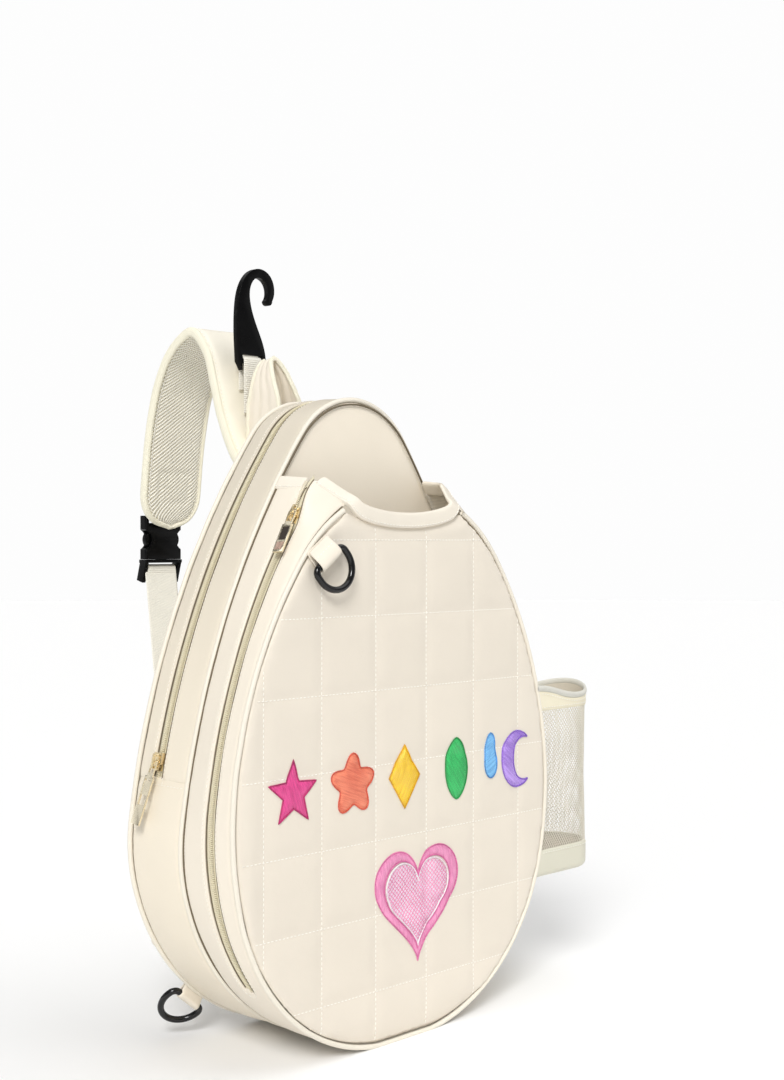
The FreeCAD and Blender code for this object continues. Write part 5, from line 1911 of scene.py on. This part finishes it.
def to_edge(x, z, loop):
    """Distance from a point to the nearest side of a closed shape."""
    best = 1e9
    for (ax, az), (bx, bz) in zip(loop, loop[1:] + loop[:1]):
        dx, dz = bx - ax, bz - az
        t = ((x - ax) * dx + (z - az) * dz) / (dx * dx + dz * dz + 1e-12)
        t = min(max(t, 0.0), 1.0)
        best = min(best, (x - ax - t * dx) ** 2 + (z - az - t * dz) ** 2)
    return math.sqrt(best)


def within(x, z, loop):
    hit = False
    for (ax, az), (bx, bz) in zip(loop, loop[1:] + loop[:1]):
        if (az > z) != (bz > z) and x < (bx - ax) * (z - az) / (bz - az) + ax:
            hit = not hit
    return hit


def look_forward(bm):
    bm.normal_update()
    if sum(f.normal.y for f in bm.faces) > 0:
        turn_over(bm)


def motif(name, node, loop, mat, height=1.25, roll=1.7, step=1.3, hole=None, rim=0.55):
    """Domed patch of satin stitch with a fine corded edge, lying on the quilted panel."""
    outlines = [loop] if hole is None else [loop, hole]
    rings = [along_outline(o, step) for o in outlines]

    def clear(x, z):
        return (within(x, z, loop) and not any(within(x, z, o) for o in outlines[1:])
                and all(to_edge(x, z, o) > step * 0.55 for o in outlines))

    coords, links = [], []
    for edge in rings:
        links += [(len(coords) + i, len(coords) + (i + 1) % len(edge)) for i in range(len(edge))]
        coords += edge
    xs, zs = [p[0] for p in rings[0]], [p[1] for p in rings[0]]
    x = min(xs)
    while x < max(xs):
        z = min(zs)
        while z < max(zs):
            if clear(x, z):
                coords.append((x, z))
            z += step
        x += step
    co, _, tris, *_ = delaunay_2d_cdt([Vector(p) for p in coords], links, [], 1, 1e-4)
    if hole is not None:
        middles = [sum((co[i] for i in t), Vector((0, 0))) / 3 for t in tris]
        tris = [t for t, m in zip(tris, middles) if not within(m.x, m.y, hole)]
    verts = []
    for p in co:
        d = min(to_edge(p.x, p.y, o) for o in outlines)
        verts.append(on_panel(p.x, p.y, height * (1 - math.exp(-(d / roll) ** 1.3)) + 0.05))
    obj = make(name, verts, [tuple(t) for t in tris], mat)
    edit(obj, look_forward)
    thicken(obj, 0.5, -1.0, levels=1)
    if node:
        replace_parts(obj, node)
    if rim:
        for k, edge in enumerate(rings):
            tube_along(f"{name}_rim_{k}", [on_panel(x, z, 0.35) for x, z in edge], rim,
                       mat + "_edge", 8, closed=True)


def shifted(points, x0, z0, k=1.0):
    return [(x * k + x0, z * k + z0) for x, z in points]


SHAPES = {
    "star": (star(), -119, "pink"),
    "flower": (polar(60, lambda a: ROW_H * (0.39 + 0.09 * math.cos(5 * a))), -59, "coral"),
    "diamond": ([(0, 24), (17, 0), (0, -24), (-17, 0)], -4, "yellow"),
    "leaf": (leaf(), 56, "green"),
    "drop": (polar(40, lambda a: 12.0 + 12.0 * max(0.0, math.cos(a)) ** 5, 0.62), 98, "blue"),
    "crescent": (crescent(), 132, "lilac"),
}
for key, (shape, x, thread) in SHAPES.items():
    motif("satin_" + key, "motif_" + key, shifted(shape, x, ROW_Z), thread)

HEART = (11.0, 100.0)
HEART_SHAPE = heart(92, 86)


def heart_loop(lift, k):
    return shifted(HEART_SHAPE, HEART[0], HEART[1] + lift, k)


motif("satin_heart", "motif_emblem", heart_loop(0.0, 1.0), "rose", hole=heart_loop(1.0, 0.80),
      height=1.3, step=1.5)
white_line = [on_panel(x, z, 0.45) for x, z in along_outline(heart_loop(1.2, 0.755), 1.5)]
tube_along("heart_inner_line", white_line, 0.6, "white_thread", 8, closed=True)


def heart_mesh():
    """Crossed rows of thread that fill the heart."""
    loop = heart_loop(1.2, 0.74)
    motif("heart_ground", None, loop, "blush", height=0.35, roll=1.5, step=2.0, rim=0)
    lines = []
    for sign in (-1, 1):
        for k in range(-30, 31):
            run = []
            for i in range(-80, 81):
                u, w = i * 0.8, k * 2.6
                x = HEART[0] + (u - sign * w) * 0.7071
                z = HEART[1] + (sign * u + w) * 0.7071
                if within(x, z, loop):
                    run.append(on_panel(x, z, 0.55 + 0.12 * (sign > 0)))
                else:
                    lines.append(run)
                    run = []
            lines.append(run)
    lines = [run for run in lines if len(run) > 3]
    stitches("heart_filling", lines, 2.6, 2.5, 0.3, mat="rose")


heart_mesh()
